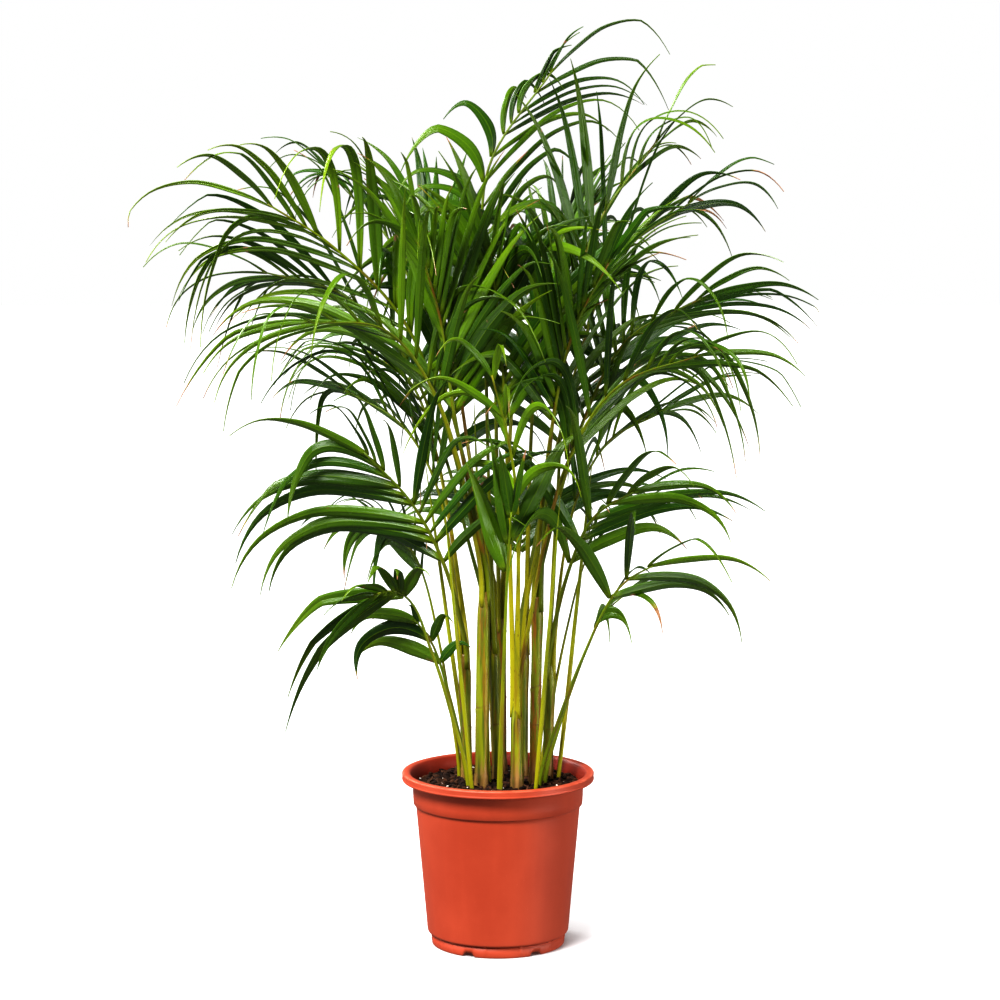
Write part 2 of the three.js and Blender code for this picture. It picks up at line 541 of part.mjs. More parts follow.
function growLeaflet(own, frame, rootPoints, side, share, draw) {
  const { along, right, above } = frame;
  const wing = side < 0 ? 0 : 1;
  const usual = lerp(own.open[0], own.open[1], share ** OPEN_FALL);
  const open = usual + draw(...VARIETY.open) * lerp(1, 0.4, share);
  const rise = own.rise * lerp(1, 0.6, share) + draw(...VARIETY.rise);
  const leaf = {
    length: own.blade[wing] * bladeSize(share) * draw(...VARIETY.length),
    width: own.width[wing] * lerp(1, 0.62, share) * draw(...VARIETY.width),
    droop: own.droop * draw(...VARIETY.droop),
    turn: draw(...VARIETY.turn),
    creased: draw(0, 1) < own.limp[wing] && share < CREASE.last,
  };
  const tilt = draw(...VARIETY.tilt);
  const root = rootPoints.reduce((sum, p) => sum.add(p), new THREE.Vector3()).divideScalar(4);
  for (const bend of BENDS) {
    const out = right.clone().multiplyScalar(side * Math.cos(radians(rise + bend.rise)))
      .addScaledVector(above, Math.sin(radians(rise + bend.rise)));
    const angle = radians(open + bend.swing);
    const start = along.clone().multiplyScalar(Math.cos(angle)).addScaledVector(out, Math.sin(angle));
    const across = along.clone().addScaledVector(above, tilt);
    across.addScaledVector(start, -across.dot(start)).normalize();
    const cut = { ...leaf, length: leaf.length * bend.length };
    const stations = leafletStations(root, start, across, cut, side);
    const whole = leafletSolid(rootPoints, stations, side, CLEARANCE);
    const outer = outerSolid(stations, side, CLEARANCE);
    const clear = isClear(whole, own.name + '_rachis') && isClear(outer);
    whole.delete();
    outer.delete();
    if (clear) return stations;
  }
  return null;
}

function frond(parts, index) {
  const { own, plan, knee } = parts;
  const draw = seeded(index + 1);
  const shell = new Shell();
  const rings = rachisRings(parts, shell);
  shell.cap(rings[0], true);
  for (let i = 1; i < rings.length; i += 1) {
    const [low, high] = [rings[i - 1], rings[i]];
    const grown = [];
    if (plan[i - 1].leafy) {
      const frame = frameAt(parts, (plan[i - 1].share + plan[i].share) / 2);
      for (const side of [-1, 1]) {
        const edge = side < 0 ? 0 : 2;
        const rootRing = [low[edge], low[1], high[1], high[edge]];
        const rootPoints = rootRing.map((k) => shell.points[k]);
        const share = (plan[i - 1].share - knee) / (1 - knee);
        const stations = growLeaflet(own, frame, rootPoints, side, share, draw);
        if (stations) {
          place(leafletSolid(rootPoints, stations, side, 0), own.name);
          drawLeaflet(shell, rootRing, stations, side);
          grown.push(side < 0 ? 0 : 1);
        }
      }
    }
    shell.tube(low, high, false, grown);
  }
  shell.cap(rings.at(-1), false);
  return named(own.name, shell.geometry(), materials.frond);
}

// ---------- soil ----------
function soil(holes) {
  const p = POT;
  const wall = (r) => r - p.wall - SEAT_GAP;
  const edge = wall(p.collarRadius + 0.6);
  const profile = [
    [0, p.floorTop + SEAT_GAP], [wall(p.footRadius - 1.2), p.floorTop + SEAT_GAP],
    [wall(p.bodyBottomRadius), p.footTop + 1.5], [wall(p.bodyTopRadius), p.collarBottom - 6.5],
    [wall(p.collarRadius), p.collarBottom + 0.6], [edge, SOIL.top - 3],
    ...[...SOIL.rings, 0].map((k) => [edge * k, SOIL.top + SOIL.crown * (1 - k * k)]),
  ];
  const turned = lathe(profile, p.sides);
  const bare = mergeVertices(new THREE.BufferGeometry()
    .setAttribute('position', turned.getAttribute('position')).setIndex(turned.index), 1e-3);
  const points = bare.getAttribute('position');
  const draw = seeded(91);
  for (let i = 0; i < points.count; i += 1) {
    const lump = draw(-SOIL.lump, SOIL.lump);
    if (points.getZ(i) > SOIL.top - 2) points.setZ(i, points.getZ(i) + lump);
  }
  return named('soil', geometryOf(bored(solidOf(bare), holes)), materials.soil);
}

// ---------- spears ----------
function spearParts(own) {
  const curve = new THREE.LineCurve3(petioleFoot(own, 0), vec(own.tip));
  return { own, curve, outward: new THREE.Vector3(1, 0, 0) };
}

function spear(parts, extra = 0) {
  const shell = new Shell();
  const rings = [[0, 0.9], [0.35, 1], [0.75, 0.7]].map(([share, k]) =>
    shell.ring(kite(frameAt(parts, share), SPEAR_RADIUS * k + extra)));
  shell.cap(rings[0], true);
  for (let i = 1; i < rings.length; i += 1) shell.tube(rings[i - 1], rings[i], false);
  shell.cone(rings.at(-1), parts.curve.getPointAt(1), false);
  return shell.geometry();
}

// ---------- the plant ----------
const palm = new THREE.Group();
const fronds = FRONDS.map(frondParts);
const spears = SPEARS.map(spearParts);

// The hole that each stem stands in, in its cane or in the soil.
const sockets = [
  ...fronds.map((parts) => ({ stem: parts.own.stem, hole: rachisSolid(parts, SEAT_GAP) })),
  ...spears.map((parts) => ({ stem: parts.own.stem, hole: solidOf(spear(parts, SEAT_GAP)) })),
];
const holesIn = (stem) => sockets.filter((socket) => socket.stem === stem).map((socket) => socket.hole);

for (const cane of CANES) {
  palm.add(named(cane.name, geometryOf(bored(caneSolid(cane), holesIn(cane.name))), materials.cane));
  place(caneSolid(cane), cane.name);
}
for (const parts of spears) {
  palm.add(named(parts.own.name, spear(parts), materials.spear));
  place(solidOf(spear(parts, 0.5)), parts.own.name);
}
for (const parts of fronds) place(rachisSolid(parts, 0.5), parts.own.name + '_rachis');
fronds.forEach((parts, index) => palm.add(frond(parts, index)));

palm.add(soil([...CANES.map((cane) => caneSolid(cane, SEAT_GAP)), ...holesIn(null)]));
palm.add(pot());

export default palm;
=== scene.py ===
"""A young areca palm in a plastic nursery pot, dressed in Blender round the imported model.

Metres, +Z up, -Y the front. Each frond of the frame is read as a rachis and its leaflets, and is drawn again
with curved, folded and veined blades, with more leaflets between them. Canes, spears, soil and pot are drawn
again at full detail where the frame has them.
"""
import math
import random

import bmesh
import bpy
import numpy as np
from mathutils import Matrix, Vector, noise


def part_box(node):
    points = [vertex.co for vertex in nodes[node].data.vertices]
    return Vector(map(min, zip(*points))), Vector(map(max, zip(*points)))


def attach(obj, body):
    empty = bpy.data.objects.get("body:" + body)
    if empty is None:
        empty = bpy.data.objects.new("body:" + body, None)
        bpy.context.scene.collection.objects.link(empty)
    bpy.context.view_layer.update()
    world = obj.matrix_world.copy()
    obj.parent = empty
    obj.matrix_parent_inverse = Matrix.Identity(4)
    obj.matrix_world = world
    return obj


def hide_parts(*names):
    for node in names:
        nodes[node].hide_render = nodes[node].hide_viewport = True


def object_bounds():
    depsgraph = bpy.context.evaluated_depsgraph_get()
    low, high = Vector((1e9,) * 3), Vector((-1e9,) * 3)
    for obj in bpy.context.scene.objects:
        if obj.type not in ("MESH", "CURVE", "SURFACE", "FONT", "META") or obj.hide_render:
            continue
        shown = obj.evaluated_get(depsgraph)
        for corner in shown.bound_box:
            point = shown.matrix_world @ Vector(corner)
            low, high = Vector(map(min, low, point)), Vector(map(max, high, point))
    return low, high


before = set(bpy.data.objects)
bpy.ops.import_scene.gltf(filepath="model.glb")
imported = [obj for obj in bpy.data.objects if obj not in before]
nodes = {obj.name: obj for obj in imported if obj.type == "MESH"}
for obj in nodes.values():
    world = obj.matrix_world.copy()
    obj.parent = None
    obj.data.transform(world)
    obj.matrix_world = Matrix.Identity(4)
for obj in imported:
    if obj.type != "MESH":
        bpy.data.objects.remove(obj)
cad_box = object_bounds()
BOX_LOW, BOX_HIGH = (np.array(corner) for corner in cad_box)

MM = 0.001
UP = np.array([0, 0, 1])
ANY_TURN = (0, 6.3)  # the range of a drawn direction or phase, in radians

# ---------- the view ----------
CAMERA_PLACE = (0.0022, -3.2, 0.885)
CAMERA_PITCH = 82.95
CAMERA_LENS, SENSOR_WIDTH = 107.3, 36
WORLD_LIGHT = 0.38
PICTURE_GAMMA = 0.72
FLOOR_REACH = 12
FLOOR_GLOW = 0.6
PAINTED_SHADOW_REACH = 90 * MM  # how near to the pot the floor's painted shadow starts
SKY_WAY, SKY_POWER, SKY_SOFTNESS = (-0.5, -0.75, 1.0), 5.2, 27
# Round lamps: where each hangs, what it shines at, its width and its watts.
PANELS = {
    "fill_panel": ((2.7, -1.2, 0.4), (0, 0, 0.3), 1.6, 88),
    "side_panel": ((-1.3, -1.7, 2.3), (0, 0, 0.5), 0.9, 60),
    "left_panel": ((-2.3, -0.3, 0.5), (0, 0, 0.2), 1.4, 17),
    "back_panel": ((-1.7, 1.5, 2.0), (-0.1, 0, 0.5), 1.0, 60),
}

# ---------- leaflets ----------
WELD = 0.02 * MM  # the frame's points that are nearer than this are one
RIB_SPAN = 2 * MM  # a blade section's midrib points are nearer than this, and a root's are further
BLADE_ROWS = 22
PLEAT_AT = 0.55
ACROSS = (-1.0, -PLEAT_AT, -0.1, 0.0, 0.1, PLEAT_AT, 1.0)  # as shares of a blade's half width
BLADE_THICK = 0.45 * MM
RIB_RISE = 0.3 * MM
PLEAT_RISE = 0.25 * MM
WIDEST = 0.34  # where along a blade it is widest
ROOT_WIDTH, ROOT_CURVE = 0.3, 0.8  # its width at the root against the full one, and how it grows from there
# How steeply a blade narrows past its widest place, how full it stays, and what is left at its tip.
TIP_DRAWN, TIP_FULL, TIP_END = 1.3, 0.95, 0.035
FOLD, ROOT_FOLD, ROOT_FOLD_REACH = 0.16, 0.6, 0.09  # how steeply both halves hang, and more so at the root
RIPPLE, RIPPLE_TURN, RIPPLE_LAG = 0.05, 9, 1.3  # the waves of a blade's edges

# Each frond's youth, from 0, old and dark, to 1, young and yellow-green, and how often a place between two of
# the frame's leaflets holds one more, from 0 to 1.
LOOKS = {
    # The fronds at the back are kept old and dark, as painted shade behind the middle of the plant.
    "back": (0.08, 0.8),
    "back_left": (0.08, 0.8),
    "back_low": (0.08, 1.0),
    "back_right": (0.08, 0.8),
    "front": (0.3, 0.7),
    "front_bright": (0.95, 0.1),
    "front_left": (0.42, 0.7),
    "front_low": (0.45, 0.0),
    "front_right": (0.26, 0.7),
    "left_back": (0.2, 0.6),
    "left_fan": (0.3, 0.1),
    "left_front": (0.42, 0.22),
    "left_high": (0.78, 0.22),
    "left_low": (0.2, 0.4),
    "left_middle": (0.2, 0.4),
    "left_small": (0.2, 0.0),
    "middle_left": (0.12, 0.9),
    "middle_right": (0.12, 0.9),
    "right_fan": (0.4, 0.0),
    "right_front": (0.3, 0.22),
    "right_high": (0.36, 0.22),
    "right_low": (0.2, 0.4),
    "right_middle": (0.2, 0.4),
    "right_small": (0.2, 0.0),
    "top": (0.3, 0.22),
}
USUAL_LOOKS = (0.2, 0.22)
YOUTH_SPREAD = 0.28
FILL_WIDTH = 0.75  # an added leaflet's width against its neighbours'
SLIM, WIDTHS = 0.92, (0.82, 1.1)  # every leaflet's width against the frame's, and how much it differs
SWAY, SWAY_CURVE = 0.055, 1.5  # how far a leaflet's tip strays each way, as a share of its length
TWIST, TWIST_CURVE = 0.8, 1.3  # how far a blade turns round by its tip, in radians
KINKED, KINK_FROM, KINK_DROP = 0.22, (0.55, 0.85), (0.2, 0.5)  # how many hang from a kink, where and how far
BOX_MARGIN = 1.5 * MM  # how far inside the frame's box leaflets' middle lines stay
# Where leaflets turn brown: a few far down, more of them at the tip, and the others nowhere.
FAR_DRY, FAR_DRY_FROM = 0.015, (0.7, 0.9)
TIP_DRY, TIP_DRY_FROM = 0.25, (0.93, 0.99)
NEVER_DRY = 1.2
# Where the photo's dry leaflets end: across, up, and how near a tip has to be.
DRY_ENDS = (
    (0.262, 0.768, 22 * MM),
    (-0.062, 0.588, 14 * MM),
    (-0.325, 0.430, 24 * MM),
)
DRY_FROM = 0.68  # where along them those turn brown

# ---------- stalks, canes and spears ----------
STALK_SIDES, STALK_ROW, STALK_ROWS = 10, 9 * MM, 12  # at least STALK_ROWS rows
STALK_SIZE = 1.08  # a stalk's width against the frame's
STALK_FLARE, STALK_FLARE_REACH = 0.55, 0.05
STALK_FLAT, GROOVE_FROM, GROOVE_DEPTH = 0.86, 0.9, 0.62
CANE_SIDES, CANE_ROW = 20, 2.5 * MM
NECK_LOW, NECK_HIGH, NECK_FROM = 60 * MM, 24 * MM, 0.96  # a cane takes its top's width between these
CANE_SWELL, CANE_SWELL_REACH = 0.2, 14 * MM
CANE_OVAL = 0.04
SCAR_FIRST, SCAR_SPACES, SCARRED = (10, 22), (35, 80), 0.62  # two ranges in millimetres, and a share
SCAR_SLANT, SCAR_WIDTH, SCAR_DEPTH, SCAR_TURN = 1.6 * MM, 1.5 * MM, 0.45 * MM, 2.4
SCAR_LIP, SCAR_LIP_WIDTH = 0.5 * MM, 3 * MM
LAP_RISE, LAP_WIND, LAP_FROM, LAP_FULL = 0.5 * MM, 9, 0.3, 0.45
CLOSE_FROM, CLOSE_PAST, CLOSE_BY = 26 * MM, 4 * MM, 0.72  # how a cane's top draws in round its stems
SPEAR_ROWS, SPEAR_SIDES = 60, 16
SPEAR_PLACES, SPEAR_SIZES = (0, 0.35, 0.75, 1), (1.1, 1.25, 0.85, 0.12)
SPEAR_EDGE, SPEAR_EDGES, SPEAR_WIND = 0.16, 1.5, 9

# ---------- pot ----------
_, POT_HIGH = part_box("pot")
RIM_RADIUS, LIP_TOP = POT_HIGH.x, POT_HIGH.z
POT_SIDES = 240
LIP_DROP = 9.5 * MM
MOUTH_POINTS = 2  # so many points at the end of the outer profile already face inwards
WORN_HIGHLIT_POINTS = 9, 4  # the lip's edge, lighter as wear and as a painted highlight, is between these, counted back from there
WALL = 2 * MM
COLLAR_RADIUS, COLLAR_LOW = 92.5 * MM, 156 * MM
BODY_TOP_RADIUS, BODY_LOW_RADIUS = 89.5 * MM, 77.5 * MM
FOOT_TOP, FOOT_RADIUS = 15 * MM, 73 * MM
FLOOR_LOW, FLOOR_HIGH = 3 * MM, 6 * MM
NOTCHES, NOTCH_HALF, NOTCH_HEIGHT, NOTCH_FIRST = 6, 7 * MM, 4.5 * MM, math.radians(64)
HOLE_RING, HOLE_RADIUS, HOLE_SIDES = 50 * MM, 6 * MM, 28
GUSSETS, GUSSET_FIRST, GUSSET_RISE = 12, math.radians(-101), 1.2 * MM  # the small ribs round the foot

# ---------- soil ----------
SOIL_LOW, SOIL_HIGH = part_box("soil")
SOIL_RADIUS = SOIL_HIGH.x
CROWN = 1.5 * MM  # how far the soil rises from its edge to its middle
SOIL_EDGE = SOIL_HIGH.z - CROWN
SOIL_SIDES, SOIL_RINGS = 120, 44
SOIL_LIGHT = (0.35,) * 4
# How many lumps of each kind lie in the soil, and their sizes.
CHIPS, CHIP_SIZES = 900, (1.4 * MM, 4.6 * MM)
SPLINTERS, SPLINTER_SIZES = 130, (1.2 * MM, 2.2 * MM)
GRAINS, GRAIN_SIZES, GRAIN_LIFT = 34, (0.7 * MM, 1.6 * MM), 2.2 * MM
LUMP_CUTS = 5


def unit(vectors):
    """The same vectors with length 1, along the last axis."""
    return vectors / np.maximum(np.linalg.norm(vectors, axis=-1, keepdims=True), 1e-12)


def shares(points):
    """How far along the line each point lies, from 0 to 1."""
    steps = np.linalg.norm(np.diff(points, axis=0), axis=1)
    along = np.concatenate([[0.0], np.cumsum(steps)])
    return along / along[-1]


def length_of(line):
    return np.linalg.norm(np.diff(line, axis=0), axis=1).sum()


def axes(line, sideways):
    """Two directions at each point of a line, square to it and to each other, the first near sideways."""
    tangent = unit(np.gradient(line, axis=0))
    across = unit(sideways - tangent * (sideways * tangent).sum(1, keepdims=True))
    return across, np.cross(across, tangent)


def spread(vectors, knots, at):
    """Vectors for these shares of a line, between the ones given at its knots."""
    return np.array([np.interp(at, knots, vectors[:, k]) for k in range(3)]).T


def full_turn(count):
    """So many directions, evenly round from 0."""
    return np.linspace(0, 2 * math.pi, count, endpoint=False)


def sweep(line, right, above, wide, high):
    """Points round a line: so far to its right and so far above it."""
    return line[:, None] + right[..., None, :] * wide[..., None] + above[..., None, :] * high[..., None]


def smooth_line(points, at):
    """Points of a smooth curve through the given ones, at these shares of its length."""
    knots = shares(points)
    slopes = np.gradient(points, knots, axis=0, edge_order=2 if len(points) > 2 else 1)
    i = np.clip(np.searchsorted(knots, at, side="right") - 1, 0, len(knots) - 2)
    span = (knots[i + 1] - knots[i])[:, None]
    u = (np.asarray(at) - knots[i])[:, None] / span
    start, end = points[i], points[i + 1]
    return (
        start * (2 * u**3 - 3 * u**2 + 1)
        + slopes[i] * span * (u**3 - 2 * u**2 + u)
        + end * (3 * u**2 - 2 * u**3)
        + slopes[i + 1] * span * (u**3 - u**2)
    )


def smooth_step(x, low, high):
    """0 up to low, 1 from high on, and a smooth rise between them."""
    u = np.clip((x - low) / (high - low), 0, 1)
    return u * u * (3 - 2 * u)


def walls(grid):
    """Four-sided faces between rows of point numbers, each row closed round."""
    beside = np.roll(grid, -1, axis=1)
    return np.stack([grid[:-1], beside[:-1], beside[1:], grid[1:]], axis=-1)


def new_object(name, data):
    """An object in the scene, for a mesh, a lamp or a camera."""
    made = bpy.data.objects.new(name, data)
    bpy.context.scene.collection.objects.link(made)
    return made


# ---------- pieces ----------
NO_FACTS, NO_TINT = (0, 0, 0), (0, 0, 0, 1)


class Builder:
    """Points and faces of one piece, with what its material reads at each point."""

    def __init__(self):
        self.points, self.facts, self.tints = [], [], []
        self.corners, self.sizes, self.smooth, self.material = [], [], [], []
        self.count = 0

    def add_points(self, points, facts=NO_FACTS, tint=NO_TINT):
        first = self.count
        points = np.asarray(points, float).reshape(-1, 3)
        self.points.append(points)
        self.facts.append(np.broadcast_to(np.asarray(facts, float).reshape(-1, 3), points.shape))
        self.tints.append(np.broadcast_to(np.asarray(tint, float).reshape(-1, 4), (len(points), 4)))
        self.count += len(points)
        return first

    def add_faces(self, faces, smooth=True, material=0):
        faces = np.asarray(faces, int)
        self.corners.append(faces.ravel())
        self.sizes.append(np.full(len(faces), faces.shape[1]))
        self.smooth.append(np.broadcast_to(smooth, len(faces)))
        self.material.append(np.full(len(faces), material))

    def loft(self, rings, facts=NO_FACTS, tint=NO_TINT, material=0, flat=(), turned=False):
        """Walls between closed rings of points, and a cap at each end; turned swaps inside and outside."""
        rows, sides = rings.shape[:2]
        first = self.add_points(rings, facts, tint)
        grid = first + np.arange(rows * sides).reshape(rows, sides)
        quads = walls(grid)
        smooth = np.ones((rows - 1, sides), bool)
        smooth[:, list(flat)] = False
        start, end = grid[0][::-1][None], grid[-1][None]
        if turned:
            quads, start, end = quads[..., ::-1], start[:, ::-1], end[:, ::-1]
        self.add_faces(quads.reshape(-1, 4), smooth.ravel(), material)
        self.add_faces(start, False, material)
        self.add_faces(end, False, material)

    def piece(self, name, *materials):
        mesh = bpy.data.meshes.new(name)
        points = np.concatenate(self.points)
        corners, sizes = np.concatenate(self.corners), np.concatenate(self.sizes)
        mesh.vertices.add(len(points))
        mesh.vertices.foreach_set("co", points.ravel())
        mesh.loops.add(len(corners))
        mesh.loops.foreach_set("vertex_index", corners)
        mesh.polygons.add(len(sizes))
        mesh.polygons.foreach_set("loop_start", np.concatenate([[0], np.cumsum(sizes)[:-1]]))
        mesh.polygons.foreach_set("use_smooth", np.concatenate(self.smooth))
        mesh.polygons.foreach_set("material_index", np.concatenate(self.material))
        facts = mesh.attributes.new("facts", "FLOAT_VECTOR", "POINT")
        facts.data.foreach_set("vector", np.concatenate(self.facts).ravel())
        tint = mesh.attributes.new("tint", "FLOAT_COLOR", "POINT")
        tint.data.foreach_set("color", np.concatenate(self.tints).ravel())
        for material in materials:
            mesh.materials.append(material)
        mesh.update(calc_edges=True)
        mesh.validate()
        return new_object(name, mesh)


def settle(piece, slot, *replaced):
    """Hangs a finished piece under the root body, and hides the frame's parts that it replaces."""
    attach(piece, "root")
    if replaced:
        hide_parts(*replaced)


# ---------- materials ----------
class Shader:
    """A material's node tree, with short calls for the nodes that it needs."""

    def __init__(self, name):
        self.material = bpy.data.materials.new(name)
        self.material.use_nodes = True
        self.tree = self.material.node_tree
        self.tree.nodes.clear()
        self.surface = self.tree.nodes.new("ShaderNodeBsdfPrincipled")
        out = self.tree.nodes.new("ShaderNodeOutputMaterial")
        self.tree.links.new(self.surface.outputs["BSDF"], out.inputs["Surface"])

    def put(self, socket, value):
        if isinstance(value, bpy.types.NodeSocket):
            self.tree.links.new(value, socket)
        elif isinstance(value, tuple) and len(value) == 3 and socket.type == "RGBA":
            socket.default_value = (*value, 1)
        else:
            socket.default_value = value

    def node(self, kind, inputs, **settings):
        node = self.tree.nodes.new("ShaderNode" + kind)
        for key, value in settings.items():
            setattr(node, key, value)
        for key, value in inputs.items():
            self.put(node.inputs[key], value)
        return node

    def set(self, **inputs):
        for key, value in inputs.items():
            self.put(self.surface.inputs[key.replace("_", " ")], value)

    def read(self, name):
        """An attribute as three numbers, one socket each."""
        source = self.node("Attribute", {}, attribute_name=name)
        split = self.node("SeparateXYZ", {0: source.outputs["Vector"]})
        return split.outputs

    def math(self, operation, *values, clamp=False):
        inputs = dict(enumerate(values))
        return self.node("Math", inputs, operation=operation, use_clamp=clamp).outputs[0]

    def range(self, value, low, high, to_low=0.0, to_high=1.0, kind="SMOOTHSTEP"):
        inputs = {"Value": value, "From Min": low, "From Max": high, "To Min": to_low, "To Max": to_high}
        return self.node("MapRange", inputs, interpolation_type=kind).outputs[0]

    def mix(self, factor, a, b):
        node = self.node("Mix", {}, data_type="RGBA")
        for key, value in ((0, factor), (6, a), (7, b)):
            self.put(node.inputs[key], value)
        return node.outputs[2]

    def noise(self, scale, detail, vector=None, roughness=0.5, stretch=None):
        source = vector or self.node("TexCoord", {}).outputs["Object"]
        if stretch:
            source = self.node("VectorMath", {0: source, 1: stretch}, operation="MULTIPLY").outputs[0]
        inputs = {"Vector": source, "Scale": scale, "Detail": detail, "Roughness": roughness}
        return self.node("TexNoise", inputs).outputs["Fac"]

    def bump(self, height, distance, strength):
        inputs = {"Height": height, "Distance": distance, "Strength": strength}
        self.put(self.surface.inputs["Normal"], self.node("Bump", inputs).outputs[0])


def leaf_material():
    """Blade: facts hold the place along, the place across, and 1 above or -1 below. The tint holds light,
    youth, and where along the blade it is dry."""
    s = Shader("palm_leaf")
    along, across, face = s.read("facts")
    light, youth, dry = s.read("tint")
    old = s.mix(light, (0.002, 0.019, 0.001), (0.03, 0.112, 0.002))
    young = s.mix(light, (0.11, 0.24, 0.003), (0.26, 0.43, 0.006))
    green = s.mix(youth, old, young)
    patches = s.noise(28, 3.0, stretch=(1, 1, 0.5))
    green = s.mix(s.range(patches, 0.35, 0.7, 0, 0.35), green, (0.034, 0.115, 0.002))
    off_middle = s.math("ABSOLUTE", across)
    veins = s.math("SINE", s.math("MULTIPLY", across, 46.0))
    sideways, own = s.math("MULTIPLY", across, 7.0), s.math("MULTIPLY", light, 40.0)
    lengthwise = s.node("CombineXYZ", {"X": sideways, "Y": along, "Z": own}).outputs[0]
    streaks = s.noise(1.6, 4.0, vector=lengthwise, roughness=0.7)
    green = s.mix(s.range(streaks, 0.52, 0.72, 0, 0.5), green, (0.095, 0.22, 0.004))
    green = s.mix(s.range(streaks, 0.3, 0.47, 0.6, 0.0), green, (0.004, 0.024, 0.001))
    green = s.mix(s.range(veins, 0.2, 1.0, 0, 0.16), green, (0.11, 0.23, 0.005))
    rib = s.range(off_middle, 0.02, 0.09, 0.6, 0.0)
    green = s.mix(rib, green, (0.15, 0.26, 0.005))
    rim = s.range(off_middle, 0.9, 1.0, 0.0, 0.3)
    green = s.mix(rim, green, (0.11, 0.2, 0.005))
    heel = s.range(along, 0.0, 0.12, 0.7, 0.0)
    green = s.mix(heel, green, (0.21, 0.29, 0.004))
    below = s.range(face, -0.5, 0.5, 0.3, 0.0)
    green = s.mix(below, green, (0.042, 0.115, 0.004))
    fresh = s.math("MULTIPLY", s.range(along, 0.45, 1.0, 0, 0.6), youth)
    green = s.mix(fresh, green, (0.3, 0.4, 0.008))
    ragged = s.math("ADD", along, s.range(s.noise(120, 3.0), 0.3, 0.7, -0.03, 0.03, "LINEAR"))
    past = s.math("SUBTRACT", ragged, dry)
    yellow = s.range(past, -0.05, 0.0)
    green = s.mix(yellow, green, (0.3, 0.24, 0.02))
    straw = s.mix(s.range(s.noise(60, 3.0), 0.3, 0.6), (0.2, 0.075, 0.025), (0.47, 0.25, 0.125))
    brown = s.range(past, -0.01, 0.015)
    blotches = s.range(s.noise(34, 3.0), 0.69, 0.72)
    blotches = s.math("MULTIPLY", blotches, s.range(off_middle, 0.3, 0.8), clamp=True)
    brown = s.math("MAXIMUM", brown, blotches)
    s.set(Base_Color=s.mix(brown, green, straw))
    s.set(Roughness=s.range(s.noise(45, 2.0), 0.3, 0.7, 0.17, 0.29), Specular_IOR_Level=0.7, IOR=1.36)
    s.bump(s.math("ADD", s.math("MULTIPLY", veins, 0.5), streaks), 0.0002, 0.6)
    return s.material


def stalk_material():
    """Petiole, rachis and spear: facts hold the place from foot to tip, and the tint is light, youth and how
    brown it is."""
    s = Shader("palm_stalk")
    along, _, _ = s.read("facts")
    light, youth, brownness = s.read("tint")
    foot = s.mix(light, (0.088, 0.142, 0.003), (0.43, 0.39, 0.008))
    green = s.mix(youth, (0.1, 0.165, 0.004), (0.26, 0.34, 0.006))
    colour = s.mix(s.range(along, 0.3, 0.9), foot, green)
    streaks = s.noise(90, 3.0, stretch=(1, 1, 0.06))
    colour = s.mix(s.range(streaks, 0.45, 0.75, 0, 0.6), colour, (0.09, 0.12, 0.002))
    stains = s.noise(60, 4.0, stretch=(1, 1, 0.1), roughness=0.65)
    stained = s.math("MULTIPLY", s.range(stains, 0.5, 0.64), brownness, clamp=True)
    colour = s.mix(stained, colour, (0.22, 0.115, 0.008))
    flecks = s.noise(420, 2.0, stretch=(1, 1, 0.4))
    colour = s.mix(s.range(flecks, 0.66, 0.76, 0, 0.6), colour, (0.1, 0.035, 0.005))
    s.set(Base_Color=colour, Roughness=s.range(streaks, 0.3, 0.7, 0.3, 0.44), Specular_IOR_Level=0.35)
    s.bump(streaks, 0.0003, 0.5)
    return s.material


def cane_material():
    """Cane: facts hold the height above the soil in tenths of a metre, the place from foot to top, and how
    near a ring scar is."""
    s = Shader("palm_cane")
    height, along, scar = s.read("facts")
    light, youth, brownness = s.read("tint")
    green = s.mix(light, (0.125, 0.165, 0.002), (0.29, 0.31, 0.004))
    higher = s.mix(youth, (0.21, 0.25, 0.003), (0.31, 0.345, 0.005))
    colour = s.mix(s.range(along, 0.1, 0.9), green, higher)
    streaks = s.noise(240, 4.0, stretch=(1, 1, 0.05))
    colour = s.mix(s.range(streaks, 0.42, 0.62, 0, 0.8), colour, (0.055, 0.08, 0.002))
    patches = s.noise(46, 4.0, stretch=(1, 1, 0.3), roughness=0.7)
    sheath = s.noise(95, 4.0, stretch=(1, 1, 0.09), roughness=0.7)
    worn = s.math("MULTIPLY", s.range(sheath, 0.47, 0.56), brownness, clamp=True)
    colour = s.mix(worn, colour, (0.3, 0.12, 0.008))
    torn = s.math("MULTIPLY", s.range(sheath, 0.57, 0.65), brownness, clamp=True)
    colour = s.mix(torn, colour, (0.07, 0.022, 0.004))
    colour = s.mix(s.range(scar, 0.3, 0.9, 0, 0.6), colour, (0.15, 0.075, 0.01))
    crown = s.math("MULTIPLY", s.range(along, 0.88, 0.99), s.range(sheath, 0.38, 0.55), clamp=True)
    colour = s.mix(s.math("MULTIPLY", crown, 0.7), colour, (0.2, 0.125, 0.01))
    ragged = s.math("ADD", height, s.range(streaks, 0.35, 0.65, -0.12, 0.12, "LINEAR"))
    paper = s.mix(s.range(streaks, 0.4, 0.6), (0.34, 0.185, 0.06), (0.12, 0.05, 0.014))
    colour = s.mix(s.range(ragged, 0.06, 0.34, 0.9, 0.0), colour, paper)
    s.set(Base_Color=colour, Roughness=s.range(patches, 0.3, 0.7, 0.38, 0.6))
    s.bump(s.math("ADD", streaks, s.math("MULTIPLY", patches, 0.5)), 0.0005, 0.6)
    return s.material


